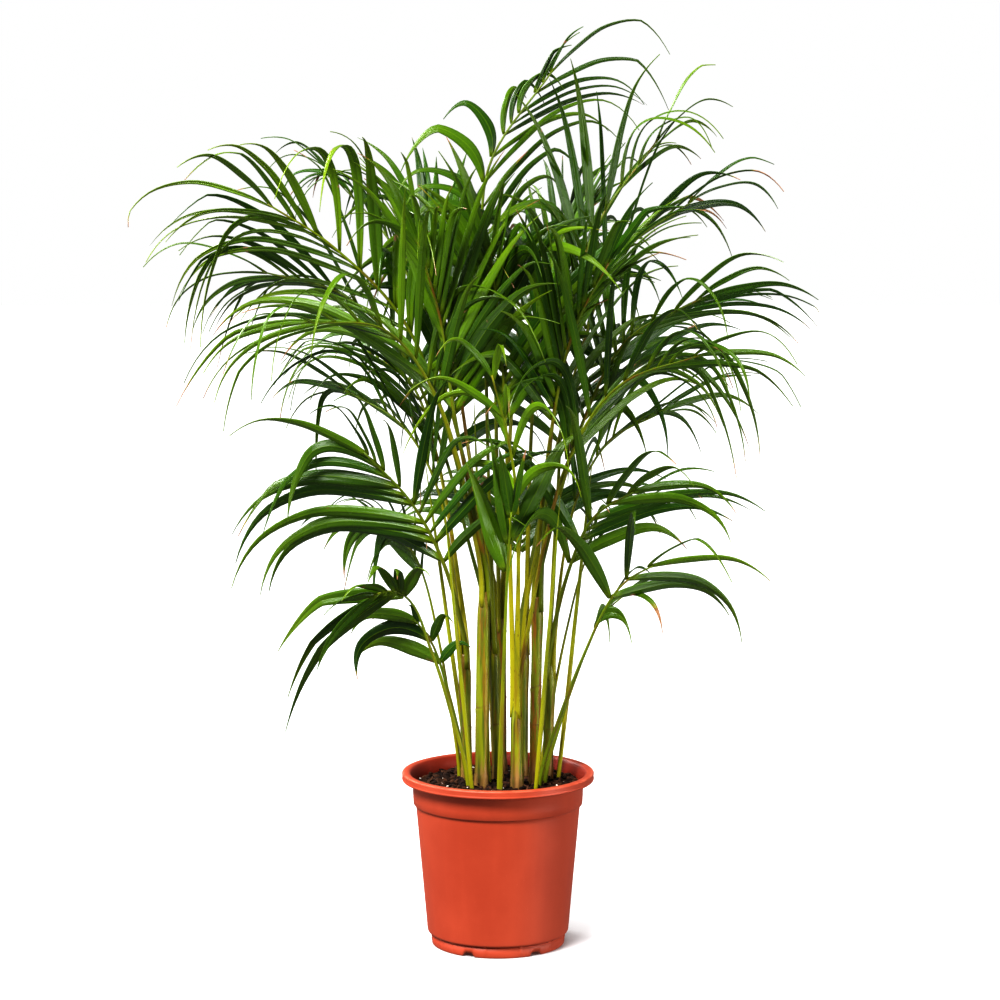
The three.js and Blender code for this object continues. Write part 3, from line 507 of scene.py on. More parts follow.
def soil_material():
    """Soil: the tint holds how light a crumb is."""
    s = Shader("potting_soil")
    light, _, _ = s.read("tint")
    colour = s.mix(light, (0.006, 0.002, 0.001), (0.1, 0.042, 0.02))
    grain = s.noise(900, 5.0, roughness=0.7)
    colour = s.mix(s.range(grain, 0.45, 0.75, 0, 0.6), colour, (0.072, 0.032, 0.017))
    s.set(Base_Color=colour, Roughness=s.range(grain, 0.3, 0.7, 0.75, 0.95), Specular_IOR_Level=0.2)
    s.bump(grain, 0.0008, 0.8)
    return s.material


def perlite_material():
    s = Shader("perlite")
    grain = s.noise(1500, 3.0)
    s.set(Base_Color=s.mix(grain, (0.55, 0.5, 0.42), (0.85, 0.83, 0.78)), Roughness=0.85)
    s.bump(grain, 0.0004, 0.6)
    return s.material


def pot_material():
    """Pot: facts are 1 inside the pot, which is darkened as painted shade, and 1 on the edge of its lip,
    which is lighter as wear and as a painted highlight.
    """
    s = Shader("pot_plastic")
    scuffed_and_highlit = (0.6, 0.17, 0.1)
    cloud = s.noise(9, 4.0, roughness=0.6)
    colour = s.mix(s.range(cloud, 0.3, 0.7), (0.374, 0.058, 0.023), (0.43, 0.073, 0.03))
    flow = s.noise(30, 3.0, stretch=(1, 1, 0.08))
    colour = s.mix(s.range(flow, 0.4, 0.75, 0, 0.25), colour, (0.56, 0.105, 0.046))
    inside, lip, _ = s.read("facts")
    # Painted shade: the inside of the pot is darkened towards a deep red.
    colour = s.mix(s.math("MULTIPLY", inside, 0.75), colour, (0.26, 0.018, 0.005))
    # Painted highlight and wear: a lighter, broken line along the lip's edge.
    worn = s.math("MULTIPLY", lip, s.range(s.noise(60, 3.0), 0.35, 0.6, 0.08, 0.5))
    colour = s.mix(worn, colour, scuffed_and_highlit)
    dust = s.noise(700, 2.0)
    colour = s.mix(s.range(dust, 0.68, 0.8, 0, 0.3), colour, scuffed_and_highlit)
    s.set(Base_Color=colour, Roughness=s.range(cloud, 0.3, 0.7, 0.42, 0.54), Specular_IOR_Level=0.4)
    s.bump(s.noise(1600, 2.0), 0.00008, 0.5)
    return s.material


def floor_material():
    """A bright, glowing floor with a painted shadow: its glow dims where something stands close to it."""
    s = Shader("studio_floor")
    s.set(Base_Color=s.mix(s.noise(3, 2.0), (0.5, 0.5, 0.505), (0.53, 0.53, 0.535)), Roughness=0.7)
    openness_for_painted_shadow = s.node("AmbientOcclusion", {"Distance": PAINTED_SHADOW_REACH}, samples=8).outputs["AO"]
    # Painted shadow: the glow drops under and round the pot, where the floor is closed in.
    s.set(Emission_Color=(1, 1, 1), Emission_Strength=s.range(openness_for_painted_shadow, 0.25, 0.95, 0.02, FLOOR_GLOW))
    return s.material


LEAF, STALK, CANE = leaf_material(), stalk_material(), cane_material()


# ---------- reading a frond ----------
def node_shape(name):
    """A copy of a node's mesh, with the points that share a place made one."""
    shape = bmesh.new()
    shape.from_mesh(nodes[name].data)
    bmesh.ops.remove_doubles(shape, verts=shape.verts, dist=WELD)
    shape.verts.index_update()
    return shape


def near(vert):
    """The points that share an edge with this one."""
    return {edge.other_vert(vert) for edge in vert.link_edges}


def apart(a, b):
    return (a.co - b.co).length


def ring_round(tip):
    """The four points round a blade's tip: edge, midrib, edge, midrib. None if this is no blade's tip."""
    if len(tip.link_faces) != 4:
        return None
    beside = {}
    for face in tip.link_faces:
        a, b = (v for v in face.verts if v != tip)
        beside.setdefault(a, []).append(b)
        beside.setdefault(b, []).append(a)
    if len(beside) != 4:
        return None
    first = min(beside, key=lambda v: v.index)
    second, fourth = beside[first]
    third = next(v for v in beside if v not in (first, second, fourth))
    ring = [first, second, third, fourth]
    if apart(first, third) < apart(second, fourth):
        ring = ring[1:] + ring[:1]
    return ring if apart(ring[1], ring[3]) < RIB_SPAN else None


def ring_before(ring, later):
    """The section that comes before this one, and its points in the same order."""
    inner = [near(v) - set(ring) - later for v in ring]
    (top,), (bottom,) = inner[1], inner[3]
    (low,), (high,) = inner[0] - {top, bottom}, inner[2] - {top, bottom}
    return [low, top, high, bottom]


def blade_rings(tip):
    """A blade's sections from its root on, the root first, or None."""
    ring = ring_round(tip)
    if ring is None:
        return None
    rings, later = [ring], {tip}
    while apart(ring[1], ring[3]) < RIB_SPAN:
        ring, later = ring_before(ring, later), set(ring)
        rings.insert(0, ring)
    return rings


def stalk_rings(shape, blades):
    """The rachis' sections from its foot on: left, above, right, below."""
    taken = {v for tip, rings in blades for v in [tip, *(v for ring in rings[1:] for v in ring)]}
    stalk = [v for v in shape.verts if v not in taken]
    ends = [v for v in stalk if len(v.link_edges) == 4]
    left, right = ends
    above, below = sorted(near(left) & near(right), key=lambda v: v.index)
    rings, before = [[left, above, right, below]], set()
    members = set(stalk)
    while True:
        ring = rings[-1]
        further = [(near(v) & members) - set(ring) - before for v in ring]
        if not further[0]:
            break
        (left,), (right,) = further[0], further[2]
        (above,), (below,) = further[1] - {left, right}, further[3] - {left, right}
        before = set(ring)
        rings.append([left, above, right, below])
    return rings


def places(verts):
    return np.array([v.co for v in verts])


def read_frond(name):
    """The rachis' sections and the leaflets of a frond, each leaflet with its place on the rachis."""
    shape = node_shape(name)
    blades = [(v, blade_rings(v)) for v in shape.verts]
    blades = [(tip, rings) for tip, rings in blades if rings]
    stalk = stalk_rings(shape, blades)
    place = {v: (i, corner) for i, ring in enumerate(stalk) for corner, v in enumerate(ring)}
    flipped = any(place[v][1] == 3 for _, rings in blades for v in rings[0][1:3])
    leaflets = []
    for tip, rings in blades:
        root = rings[0]
        order = [0, 1, 2, 3]
        if place[root[0]][0] > place[root[2]][0]:
            order = [2, 1, 0, 3]
        if place[root[order[1]]][0] != place[root[order[0]]][0]:
            order = [order[0], order[3], order[2], order[1]]
        rings = [places([ring[k] for k in order]) for ring in rings]
        index, corner = place[root[order[0]]]
        leaflets.append({"index": index, "side": corner, "rings": rings, "tip": np.array(tip.co)})
    leaflets.sort(key=lambda leaf: (leaf["side"], leaf["index"]))
    corners = [0, 3, 2, 1] if flipped else [0, 1, 2, 3]
    sections = np.array([places([ring[k] for k in corners]) for ring in stalk])
    shape.free()
    return sections, leaflets


# ---------- leaflets ----------
ROWS = np.linspace(0, 1, BLADE_ROWS)


def blade_course(leaf):
    """A leaflet's middle line, the way across it and the full half width, from its sections in the frame."""
    rings = leaf["rings"]
    middles = [rings[0].mean(0)] + [(ring[1] + ring[3]) / 2 for ring in rings[1:]] + [leaf["tip"]]
    across = [ring[2] - ring[0] for ring in rings]
    across.append(across[-1])
    middles, across = np.array(middles), unit(np.array(across))
    half = max(np.linalg.norm(ring[2] - ring[0]) for ring in rings[1:]) / 2
    turn = spread(across, shares(middles), ROWS)
    return {"line": smooth_line(middles, ROWS), "across": unit(turn), "half": half}


def between(a, b, share):
    """The leaflet that grows between two others."""
    return {key: a[key] * (1 - share) + b[key] * share for key in ("line", "across", "half")}


def varied(course, draw):
    """The same leaflet, bent a little another way."""
    line = course["line"]
    length = length_of(line)
    across, above = axes(line, course["across"])
    bend = ROWS[:, None] ** SWAY_CURVE * length
    line = line + above * bend * draw.uniform(-SWAY, SWAY) + across * bend * draw.uniform(-SWAY, SWAY)
    line = line - UP * bend * ROWS[:, None] * draw.uniform(0, SWAY)
    if draw.random() < KINKED:
        past = np.clip(ROWS - draw.uniform(*KINK_FROM), 0, 1)
        line = line - UP * past[:, None] * length * draw.uniform(*KINK_DROP)
    line = np.clip(line, BOX_LOW + BOX_MARGIN, BOX_HIGH - BOX_MARGIN)
    return {**course, "line": line, "half": course["half"] * SLIM * draw.uniform(*WIDTHS)}


def outline(rows):
    """Half width from root to tip, as a share of the full one."""
    rise = np.sin(np.clip(rows / WIDEST, 0, 1) * math.pi / 2) ** ROOT_CURVE
    rise = ROOT_WIDTH + (1 - ROOT_WIDTH) * rise
    past = np.clip((rows - WIDEST) / (1 - WIDEST), 0, 1)
    fall = (1 - past) ** TIP_DRAWN * (1 + TIP_FULL * past)
    return np.where(rows < WIDEST, rise, fall) + TIP_END


def draw_blade(builder, course, side, tint, draw):
    """A thin closed blade round a leaflet's course: folded along its midrib, pleated, rippled and twisted."""
    line = course["line"]
    across, above = axes(line, course["across"])
    above = above * (1 if side == 0 else -1)
    twist = draw.uniform(-TWIST, TWIST) * ROWS[:, None] ** TWIST_CURVE
    cos, sin = np.cos(twist), np.sin(twist)
    across, above = across * cos + above * sin, above * cos - across * sin
    half = course["half"] * outline(ROWS)
    fold = FOLD + ROOT_FOLD * np.exp(-ROWS / ROOT_FOLD_REACH)
    s = np.array(ACROSS)
    lift = -fold[:, None] * half[:, None] * np.abs(s)
    lift = lift + RIB_RISE * (s == 0) + PLEAT_RISE * (np.abs(s) == PLEAT_AT)
    phase = RIPPLE_TURN * ROWS[:, None] + draw.uniform(*ANY_TURN) + s * RIPPLE_LAG
    ripple = RIPPLE * half[:, None] * np.sin(phase) * np.abs(s) ** 2
    middle = sweep(line, across, above, half[:, None] * s, lift + ripple)
    thick = above[:, None] * (BLADE_THICK / 2)
    rings = np.concatenate([middle + thick, (middle - thick)[:, ::-1]], axis=1)
    sides = len(ACROSS)
    facts = np.empty((BLADE_ROWS, 2 * sides, 3))
    facts[..., 0] = ROWS[:, None]
    facts[..., 1] = np.concatenate([s, s[::-1]])
    facts[..., 2] = np.concatenate([np.ones(sides), -np.ones(sides)])
    builder.loft(rings, facts, tint, flat=(sides - 1, 2 * sides - 1), turned=side != 0)


def dry_start(draw):
    """Where along it a leaflet turns brown, past its tip for one that stays green."""
    chance = draw.random()
    if chance < FAR_DRY:
        return draw.uniform(*FAR_DRY_FROM)
    return draw.uniform(*TIP_DRY_FROM) if chance < TIP_DRY else NEVER_DRY


def dried(course, usual):
    """A leaflet that ends where the photo shows a dry one turns brown further down."""
    tip = course["line"][-1]
    near_dry = any(math.hypot(tip[0] - x, tip[2] - z) < reach for x, z, reach in DRY_ENDS)
    return min(usual, DRY_FROM) if near_dry else usual


def leaflets_of(leaves, fill, draw):
    """Each leaflet's course, with those that grow between them, as (side, course)."""
    found = []
    for side in (0, 2):
        row = [leaf for leaf in leaves if leaf["side"] == side]
        courses = [blade_course(leaf) for leaf in row]
        for i, course in enumerate(courses):
            found.append((side, course))
            if i + 1 == len(courses):
                continue
            count = max(1, row[i + 1]["index"] - row[i]["index"] - 1)
            for k in range(count):
                if draw.random() <= fill:
                    extra = between(course, courses[i + 1], (k + 1) / (count + 1))
                    found.append((side, {**extra, "half": extra["half"] * FILL_WIDTH}))
    return found


def draw_leaflets(builder, name, leaves, youth, fill):
    draw = random.Random(name)
    for side, course in leaflets_of(leaves, fill, draw):
        course = varied(course, draw)
        dry = dried(course, dry_start(draw))
        light = draw.uniform(0, 1)
        age = min(1, max(0, youth + draw.uniform(-YOUTH_SPREAD, YOUTH_SPREAD)))
        draw_blade(builder, course, side, (light, age, dry, 1), draw)


# ---------- stalks ----------
def draw_stalk(builder, name, sections, youth):
    """Petiole and rachis as one tapering rod, grooved above, and wider where it leaves its cane."""
    draw = random.Random(name + "_stalk")
    centres = sections.mean(1)
    length = length_of(centres)
    rows = np.linspace(0, 1, max(STALK_ROWS, int(length / STALK_ROW)))
    knots = shares(centres)
    line = smooth_line(centres, rows)
    width = sections[:, 2] - sections[:, 0]
    right, above = axes(line, spread(unit(width), knots, rows))
    radius = np.interp(rows, knots, np.linalg.norm(width, axis=1) / 2)
    radius = radius * (1 + STALK_FLARE * np.exp(-rows * length / STALK_FLARE_REACH)) * STALK_SIZE
    turn = full_turn(STALK_SIDES)
    wide, high = np.cos(turn), np.sin(turn) * STALK_FLAT
    high = np.where(np.sin(turn) > GROOVE_FROM, high * GROOVE_DEPTH, high)
    rings = sweep(line, right, above, radius[:, None] * wide, radius[:, None] * high)
    facts = np.zeros((len(rows), STALK_SIDES, 3))
    facts[..., 0] = rows[:, None]
    tint = (draw.uniform(0.0, 1), youth, draw.uniform(0.1, 1), 1)
    builder.loft(rings, facts, tint, material=1, turned=True)


def make_frond(name):
    sections, leaves = read_frond(name)
    youth, fill = LOOKS.get(name.removeprefix("frond_"), USUAL_LOOKS)
    builder = Builder()
    draw_stalk(builder, name, sections, youth)
    draw_leaflets(builder, name, leaves, youth, fill)
    settle(builder.piece("palm_" + name, LEAF, STALK), "leaf", name)


# ---------- canes and spears ----------
def slice_centre(points, low, high):
    """The middle and the half width of the points between two heights."""
    inside = points[(points[:, 2] >= low) & (points[:, 2] <= high)]
    lowest, highest = inside.min(0), inside.max(0)
    return (lowest + highest) / 2, (highest[0] - lowest[0]) / 2


def rod_ends(name, top_slice):
    """The middle and the half width of an upright node, at its foot and at its top."""
    points = np.array([v.co for v in nodes[name].data.vertices])
    low, high = points[:, 2].min(), points[:, 2].max()
    foot, foot_radius = slice_centre(points, low, low + 1 * MM)
    top, top_radius = slice_centre(points, high - top_slice, high)
    foot[2], top[2] = low, high
    return foot, foot_radius, top, top_radius


def scar_heights(buried, length, draw):
    """How far up a cane its ring scars are, from just above the soil."""
    found = []
    at = buried + draw.uniform(*SCAR_FIRST) * MM
    while at < length * SCARRED:
        found.append(at)
        at += draw.uniform(*SCAR_SPACES) * MM
    return found


def scar_relief(scars, height, turn, tilt):
    """How near a scar each point of a cane is, and how far the cane stands out there."""
    scar = np.zeros((len(height), CANE_SIDES))
    bulge = np.zeros((len(height), CANE_SIDES))
    for k, at in enumerate(scars):
        level = at + SCAR_SLANT * np.cos(turn + tilt + k * SCAR_TURN)
        away = (height[:, None] - level) / SCAR_WIDTH
        scar += np.exp(-away**2)
        bulge += SCAR_LIP * np.exp(-((height[:, None] - level + SCAR_WIDTH) / SCAR_LIP_WIDTH) ** 2)
        bulge -= SCAR_DEPTH * np.exp(-away**2)
    return scar, bulge


def make_cane(name):
    """A cane with ring scars and lapped sheaths, swollen at the soil and drawn in at its top."""
    draw = random.Random(name)
    foot, foot_radius, top, top_radius = rod_ends(name, 3 * MM)
    length = np.linalg.norm(top - foot)
    rows = np.linspace(0, 1, int(length / CANE_ROW))
    height = rows * length
    buried = SOIL_EDGE - foot[2]
    scars = scar_heights(buried, length, draw)
    neck = [0, length - NECK_LOW, length - NECK_HIGH, length]
    radius = np.interp(height, neck, [foot_radius, foot_radius * NECK_FROM, top_radius, top_radius])
    radius = radius * (1 + CANE_SWELL * np.exp(-((height - buried) / CANE_SWELL_REACH) ** 2))
    turn = full_turn(CANE_SIDES)
    tilt = draw.uniform(*ANY_TURN)
    scar, bulge = scar_relief(scars, height, turn, tilt)
    lapped = LAP_RISE * ((turn + tilt + height[:, None] * LAP_WIND) % (2 * math.pi)) / (2 * math.pi)
    lapped = lapped * smooth_step(height, length * LAP_FROM, length * LAP_FULL)[:, None]
    closing = np.sqrt(1 - smooth_step(height, length - CLOSE_FROM, length + CLOSE_PAST) * CLOSE_BY)
    full = (radius[:, None] + bulge + lapped) * closing[:, None]
    full = full * (1 + CANE_OVAL * np.cos(2 * turn + tilt))
    lean = np.array([top - foot]) / length
    line = foot + lean * height[:, None]
    along = lean[0]
    right = unit(np.cross(along, [0, 1, 0]))
    front = np.cross(along, right)
    rings = sweep(line, right, front, full * np.cos(turn), full * np.sin(turn))
    facts = np.empty((*scar.shape, 3))
    facts[..., 0] = (height - buried)[:, None] / 0.1
    facts[..., 1] = rows[:, None]
    facts[..., 2] = scar
    builder = Builder()
    tint = (draw.uniform(0.1, 1), draw.uniform(0.2, 1), draw.uniform(0.3, 1), 1)
    builder.loft(rings, facts, tint)
    settle(builder.piece("palm_" + name, CANE), "cane", name)


def make_spear(name):
    """A leaf still folded up: a slim rod that its edges wind round."""
    draw = random.Random(name)
    foot, radius, top, _ = rod_ends(name, 0.5 * MM)
    rows = np.linspace(0, 1, SPEAR_ROWS)
    size = radius * np.interp(rows, SPEAR_PLACES, SPEAR_SIZES)
    turn = full_turn(SPEAR_SIDES)
    wound = 1 + SPEAR_EDGE * np.abs(np.cos(SPEAR_EDGES * turn + rows[:, None] * SPEAR_WIND))
    line = foot + (top - foot) * rows[:, None]
    full = size[:, None] * wound
    rings = line[:, None] + np.stack([full * np.cos(turn), full * np.sin(turn), np.zeros_like(full)], -1)
    facts = np.zeros((SPEAR_ROWS, SPEAR_SIDES, 3))
    facts[..., 0] = 0.3 + 0.5 * rows[:, None]
    builder = Builder()
    builder.loft(rings, facts, (draw.uniform(0.5, 1), 0.8, 0.3, 1))
    settle(builder.piece("palm_" + name, STALK), "spear", name)


# ---------- pot ----------
def arc(centre, radius, start, end, count):
    """Points of a round stretch of a profile, by degrees."""
    angles = np.radians(np.linspace(start, end, count))
    return [(centre[0] + radius * math.cos(a), centre[1] + radius * math.sin(a)) for a in angles]


def steps_from(r, z, *steps):
    """Points of a profile, each so many millimetres outwards and upwards from one place."""
    return [(r + out * MM, z + up * MM) for out, up in steps]


def pot_profile():
    """The pot's wall: from the middle of its underside up outside and over the rim, then down inside."""
    lip_low = LIP_TOP - LIP_DROP
    collar_top = COLLAR_RADIUS + 1 * MM
    outer = steps_from(0, 0, (0, 0), (15, 0), (16.5, 1))
    outer += [(17 * MM, FLOOR_LOW), (FOOT_RADIUS - 6 * MM, FLOOR_LOW)]
    outer += steps_from(FOOT_RADIUS, 0, (-5.4, 0.4), (-5, 0), (-1, 0), (-0.3, 0.3), (0, 1.2), (0.6, 10.5))
    outer += steps_from(FOOT_RADIUS, 0, (-0.6, 11.2), (-0.6, 12.4))
    outer += arc((BODY_LOW_RADIUS - 3.4 * MM, FOOT_TOP + 1 * MM), 3.4 * MM, -70, 0, 6)
    taper, rise = BODY_TOP_RADIUS - BODY_LOW_RADIUS, COLLAR_LOW - 5.5 * MM - FOOT_TOP
    outer += [(BODY_LOW_RADIUS + taper * k, FOOT_TOP + 1 * MM + rise * k) for k in np.linspace(0.04, 1, 14)]
    outer += steps_from(BODY_TOP_RADIUS, COLLAR_LOW, (0.1, -1.6), (0.5, -0.6))
    outer += steps_from(COLLAR_RADIUS, COLLAR_LOW, (-0.6, -0.5), (0, 0.3), (0.4, 8))
    outer += steps_from(collar_top, lip_low, (0, -1), (0.5, 0.2))
    outer += steps_from(RIM_RADIUS, lip_low, (-3.2, 0), (-1.6, 0.3))
    outer += arc((RIM_RADIUS - 1.6 * MM, lip_low + 1.9 * MM), 1.6 * MM, -60, 40, 6)
    outer += steps_from(RIM_RADIUS, lip_low, (-0.5, 3.6))
    outer += arc((RIM_RADIUS - 1.9 * MM, LIP_TOP - 2.2 * MM), 1.9 * MM, 0, 80, 7)
    outer += steps_from(RIM_RADIUS, LIP_TOP, (-4, 0), (-7.4, -0.5), (-9.2, -1.8), (-10.6, -4.5))
    inner = [
        (collar_top - WALL, lip_low - 3 * MM), (COLLAR_RADIUS - WALL, COLLAR_LOW + 1 * MM),
        (BODY_TOP_RADIUS - WALL, COLLAR_LOW - 6 * MM), (BODY_LOW_RADIUS - WALL, FOOT_TOP + 3 * MM),
        (FOOT_RADIUS - WALL - 1 * MM, FLOOR_HIGH), (HOLE_RING + 10 * MM, FLOOR_HIGH), (0, FLOOR_HIGH),
    ]
    return outer, inner


def spun(profile, sides):
    """A profile turned round the axis, as rows of its points, and the angle of each column."""
    angle = full_turn(sides)
    r, z = np.array(profile).T
    upright = np.broadcast_to(z[:, None], (len(r), sides))
    return np.stack([np.outer(r, np.cos(angle)), np.outer(r, np.sin(angle)), upright], -1), angle


def from_axis(points):
    """How far each point is from the upright axis."""
    return np.hypot(points[..., 0], points[..., 1])


def off_nearest(angle, first, count):
    """How far each angle is from the nearest of so many even directions."""
    step = 2 * math.pi / count
    return np.abs((angle - first + step / 2) % step - step / 2)


def cut(piece, cutter):
    """Cuts another object out of a piece, and removes it."""
    bpy.context.view_layer.update()
    modifier = piece.modifiers.new("cut", "BOOLEAN")
    modifier.operation, modifier.solver, modifier.object = "DIFFERENCE", "EXACT", cutter
    depsgraph = bpy.context.evaluated_depsgraph_get()
    mesh = bpy.data.meshes.new_from_object(piece.evaluated_get(depsgraph))
    piece.modifiers.clear()
    piece.data = mesh
    bpy.data.objects.remove(cutter)


def hole_cutter(angles):
    """A rod through the pot's floor at each angle."""
    builder = Builder()
    turn = full_turn(HOLE_SIDES)
    for angle in angles:
        x = HOLE_RING * math.cos(angle) + HOLE_RADIUS * np.cos(turn)
        y = HOLE_RING * math.sin(angle) + HOLE_RADIUS * np.sin(turn)
        ends = (FLOOR_LOW - 1 * MM, FLOOR_HIGH + 1 * MM)
        rings = np.stack([np.stack([x, y, np.full(HOLE_SIDES, z)], -1) for z in ends])
        builder.loft(rings)
    return builder.piece("hole_cutter")


def notch_foot(rings, angle):
    """Lifts the foot's edge where its drainage notches are."""
    reach = off_nearest(angle, NOTCH_FIRST, NOTCHES) * FOOT_RADIUS
    lift = NOTCH_HEIGHT * (1 - smooth_step(reach, NOTCH_HALF - 2.5 * MM, NOTCH_HALF + 0.5 * MM))
    z = rings[:, :, 2]
    edge = (z < NOTCH_HEIGHT) & (from_axis(rings) > FOOT_RADIUS - 5.8 * MM)
    rings[:, :, 2] = np.where(edge, np.maximum(z, lift), z)


def rib_foot(rings, angle):
    """Raises small ribs in the groove above the foot."""
    rib = GUSSET_RISE * (off_nearest(angle, GUSSET_FIRST, GUSSETS) * FOOT_RADIUS < GUSSET_RISE)
    z = rings[:, :, 2]
    groove = (z > 9 * MM) & (z < 13 * MM) & (from_axis(rings) > FOOT_RADIUS - 2 * MM)
    scale = 1 + np.where(groove, rib / FOOT_RADIUS, 0)
    rings[:, :, :2] *= scale[..., None]


def make_pot():
    """The pot as one closed shell, with its drain holes cut between the notches."""
    outer, inner = pot_profile()
    rings, angle = spun(outer + inner, POT_SIDES)
    notch_foot(rings, angle)
    rib_foot(rings, angle)
    facts = np.zeros(rings.shape)
    # The inside, which the pot's material darkens as painted shade.
    facts[len(outer) - MOUTH_POINTS:, :, 0] = 1
    # The lip's edge, which the pot's material paints lighter as wear and as a painted highlight.
    worn_highlit_from, worn_highlit_to = (len(outer) - count for count in WORN_HIGHLIT_POINTS)
    facts[worn_highlit_from:worn_highlit_to, :, 1] = 1
    builder = Builder()
    middle_low = builder.add_points(rings[0, 0])
    middle_high = builder.add_points(rings[-1, 0])
    first = builder.add_points(rings[1:-1], facts[1:-1])
    grid = first + np.arange((len(rings) - 2) * POT_SIDES).reshape(-1, POT_SIDES)
    beside = np.roll(grid, -1, axis=1)
    builder.add_faces(walls(grid).reshape(-1, 4))
    builder.add_faces(np.stack([grid[0], np.full(POT_SIDES, middle_low), beside[0]], -1), False)
    builder.add_faces(np.stack([grid[-1], beside[-1], np.full(POT_SIDES, middle_high)], -1), False)
    pot = builder.piece("nursery_pot")
    step = 2 * math.pi / NOTCHES
    cut(pot, hole_cutter(NOTCH_FIRST + step * (np.arange(NOTCHES) + 0.5)))
    pot.data.materials.clear()
    pot.data.materials.append(pot_material())
    settle(pot, "pot", "pot")


# ---------- soil ----------
def soil_height(x, y):
    """How high the soil's surface lies at a place: crowned in the middle, with lumps."""
    share = math.hypot(x, y) / SOIL_RADIUS
    lumps = noise.noise(Vector((x, y, 0)) * 90) * 2.2 * MM + noise.noise(Vector((x, y, 3)) * 260) * 1.0 * MM
    return SOIL_EDGE + CROWN * (1 - share**2) + lumps * (1 - share**6)


def make_soil():
    """The soil's body with its lumpy surface, the crumbs and splinters on it, and the white grains."""
    builder = Builder()
    wall = [
        (0, SOIL_LOW.z), (FOOT_RADIUS - 4 * MM, SOIL_LOW.z), (BODY_LOW_RADIUS - 3 * MM, FOOT_TOP + 4 * MM),
        (BODY_TOP_RADIUS - 3 * MM, COLLAR_LOW - 7 * MM), (SOIL_RADIUS, COLLAR_LOW + 2 * MM),
    ]
    surface = [(SOIL_RADIUS * k, SOIL_EDGE) for k in np.linspace(1, 0, SOIL_RINGS)]
    rings, _ = spun(wall + surface, SOIL_SIDES)
    for row in rings[len(wall):-1]:
        for point in row:
            point[2] = soil_height(point[0], point[1])
    builder.loft(rings[1:-1], tint=SOIL_LIGHT)
    draw = random.Random("chips")
    for _ in range(CHIPS):
        add_lump(builder, draw, CHIP_SIZES, (draw.random() ** 2.2, 0, 0, 1), longer=1.25)
    for _ in range(SPLINTERS):
        add_lump(builder, draw, SPLINTER_SIZES, (draw.uniform(0.9, 1.8), 0, 0, 1), longer=4.0)
    settle(builder.piece("potting_soil", soil_material()), "soil", "soil")
    grains = Builder()
    for _ in range(GRAINS):
        add_lump(grains, draw, GRAIN_SIZES, NO_TINT, lift=GRAIN_LIFT)
    settle(grains.piece("perlite_grains", perlite_material()), "soil")


def lump_template():
    """The points and faces of a ball with a radius of 1."""
    shape = bmesh.new()
    bmesh.ops.create_icosphere(shape, subdivisions=2, radius=1)
    points = np.array([v.co for v in shape.verts])
    faces = np.array([[v.index for v in f.verts] for f in shape.faces])
    shape.free()
    return points, faces


LUMP_POINTS, LUMP_FACES = lump_template()


def add_lump(builder, draw, sizes, tint, longer=1.0, lift=0.0):
    """A crumb of bark or a grain, with flat broken sides, half sunk in the surface."""
    size = draw.uniform(*sizes)
    stretch = np.array([draw.uniform(0.8, 1.6) * longer, draw.uniform(0.6, 1.0), draw.uniform(0.45, 0.8)])
    points = LUMP_POINTS.copy()
    for _ in range(LUMP_CUTS):
        way = unit(np.array([draw.gauss(0, 1) for _ in range(3)]))
        depth = draw.uniform(0.45, 0.8)
        beyond = np.clip(points @ way - depth, 0, None)
        points = points - beyond[:, None] * way
    points = points * stretch * size
    a, b = draw.uniform(*ANY_TURN), draw.uniform(-0.6, 0.6)
    spin = np.array([[math.cos(a), -math.sin(a), 0], [math.sin(a), math.cos(a), 0], [0, 0, 1]])
    tip = np.array([[math.cos(b), 0, math.sin(b)], [0, 1, 0], [-math.sin(b), 0, math.cos(b)]])
    reach = SOIL_RADIUS - 3 * MM - size * (longer - 1)
    r, turn = reach * math.sqrt(draw.random()), draw.uniform(*ANY_TURN)
    x, y = r * math.cos(turn), r * math.sin(turn)
    place = np.array([x, y, soil_height(x, y) + size * 0.25 + lift])
    first = builder.add_points(points @ (spin @ tip).T + place, tint=tint)
    builder.add_faces(LUMP_FACES + first, False)


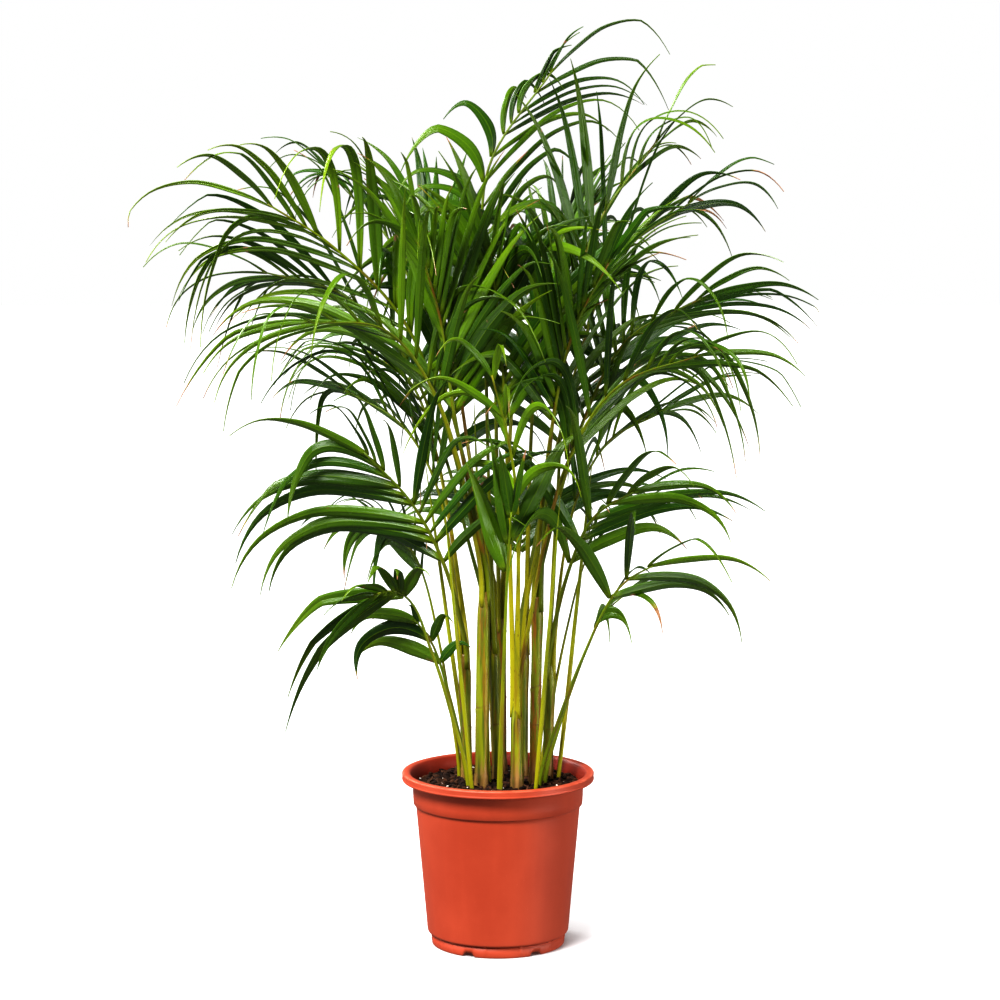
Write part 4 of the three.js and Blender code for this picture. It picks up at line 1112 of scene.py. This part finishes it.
# ---------- studio ----------
def make_floor():
    mesh = bpy.data.meshes.new("floor")
    corners = [(FLOOR_REACH * x, FLOOR_REACH * y, 0) for x, y in ((-1, -1), (1, -1), (1, 1), (-1, 1))]
    mesh.from_pydata(corners, [], [(0, 1, 2, 3)])
    floor = new_object("floor", mesh)
    mesh.materials.append(floor_material())
    floor.visible_diffuse, floor.visible_glossy = False, False


def new_lamp(name, kind, power):
    lamp = new_object(name, bpy.data.lights.new(name, kind))
    lamp.data.energy = power
    return lamp


def add_panel(name, place, target, size, power):
    """A round lamp that hangs at a place and shines at a target."""
    lamp = new_lamp(name, "AREA", power)
    lamp.data.shape, lamp.data.size = "DISK", size
    lamp.location = place
    lamp.rotation_euler = (Vector(target) - Vector(place)).to_track_quat("-Z", "Y").to_euler()


def add_sky():
    """Even light from one side of the sky; SKY_WAY points towards it."""
    lamp = new_lamp("sky_panel", "SUN", SKY_POWER)
    lamp.data.angle = math.radians(SKY_SOFTNESS)
    lamp.rotation_euler = Vector(SKY_WAY).to_track_quat("Z", "Y").to_euler()


def make_world():
    """White all round where it is seen, and a dimmer light on the plant."""
    world = bpy.data.worlds.new("studio")
    world.use_nodes = True
    tree = world.node_tree
    path = tree.nodes.new("ShaderNodeLightPath")
    strength = tree.nodes.new("ShaderNodeMapRange")
    strength.inputs["To Min"].default_value = WORLD_LIGHT
    tree.links.new(path.outputs["Is Camera Ray"], strength.inputs["Value"])
    background = tree.nodes["Background"]
    background.inputs["Color"].default_value = (1, 1, 1, 1)
    tree.links.new(strength.outputs["Result"], background.inputs["Strength"])
    return world


def make_studio():
    """The camera, the world and the lamps."""
    scene = bpy.context.scene
    camera = new_object("camera", bpy.data.cameras.new("camera"))
    camera.data.lens, camera.data.sensor_width = CAMERA_LENS, SENSOR_WIDTH
    camera.location = CAMERA_PLACE
    camera.rotation_euler = (math.radians(CAMERA_PITCH), 0, 0)
    scene.camera = camera
    scene.world = make_world()
    add_sky()
    for name, panel in PANELS.items():
        add_panel(name, *panel)
    scene.view_settings.view_transform = "Standard"
    scene.view_settings.gamma = PICTURE_GAMMA


# ---------- the plant ----------
make_studio()
make_floor()
make_pot()
make_soil()
for node in sorted(nodes):
    if node.startswith("frond"):
        make_frond(node)
    elif node.startswith("cane"):
        make_cane(node)
    elif node.startswith("spear"):
        make_spear(node)
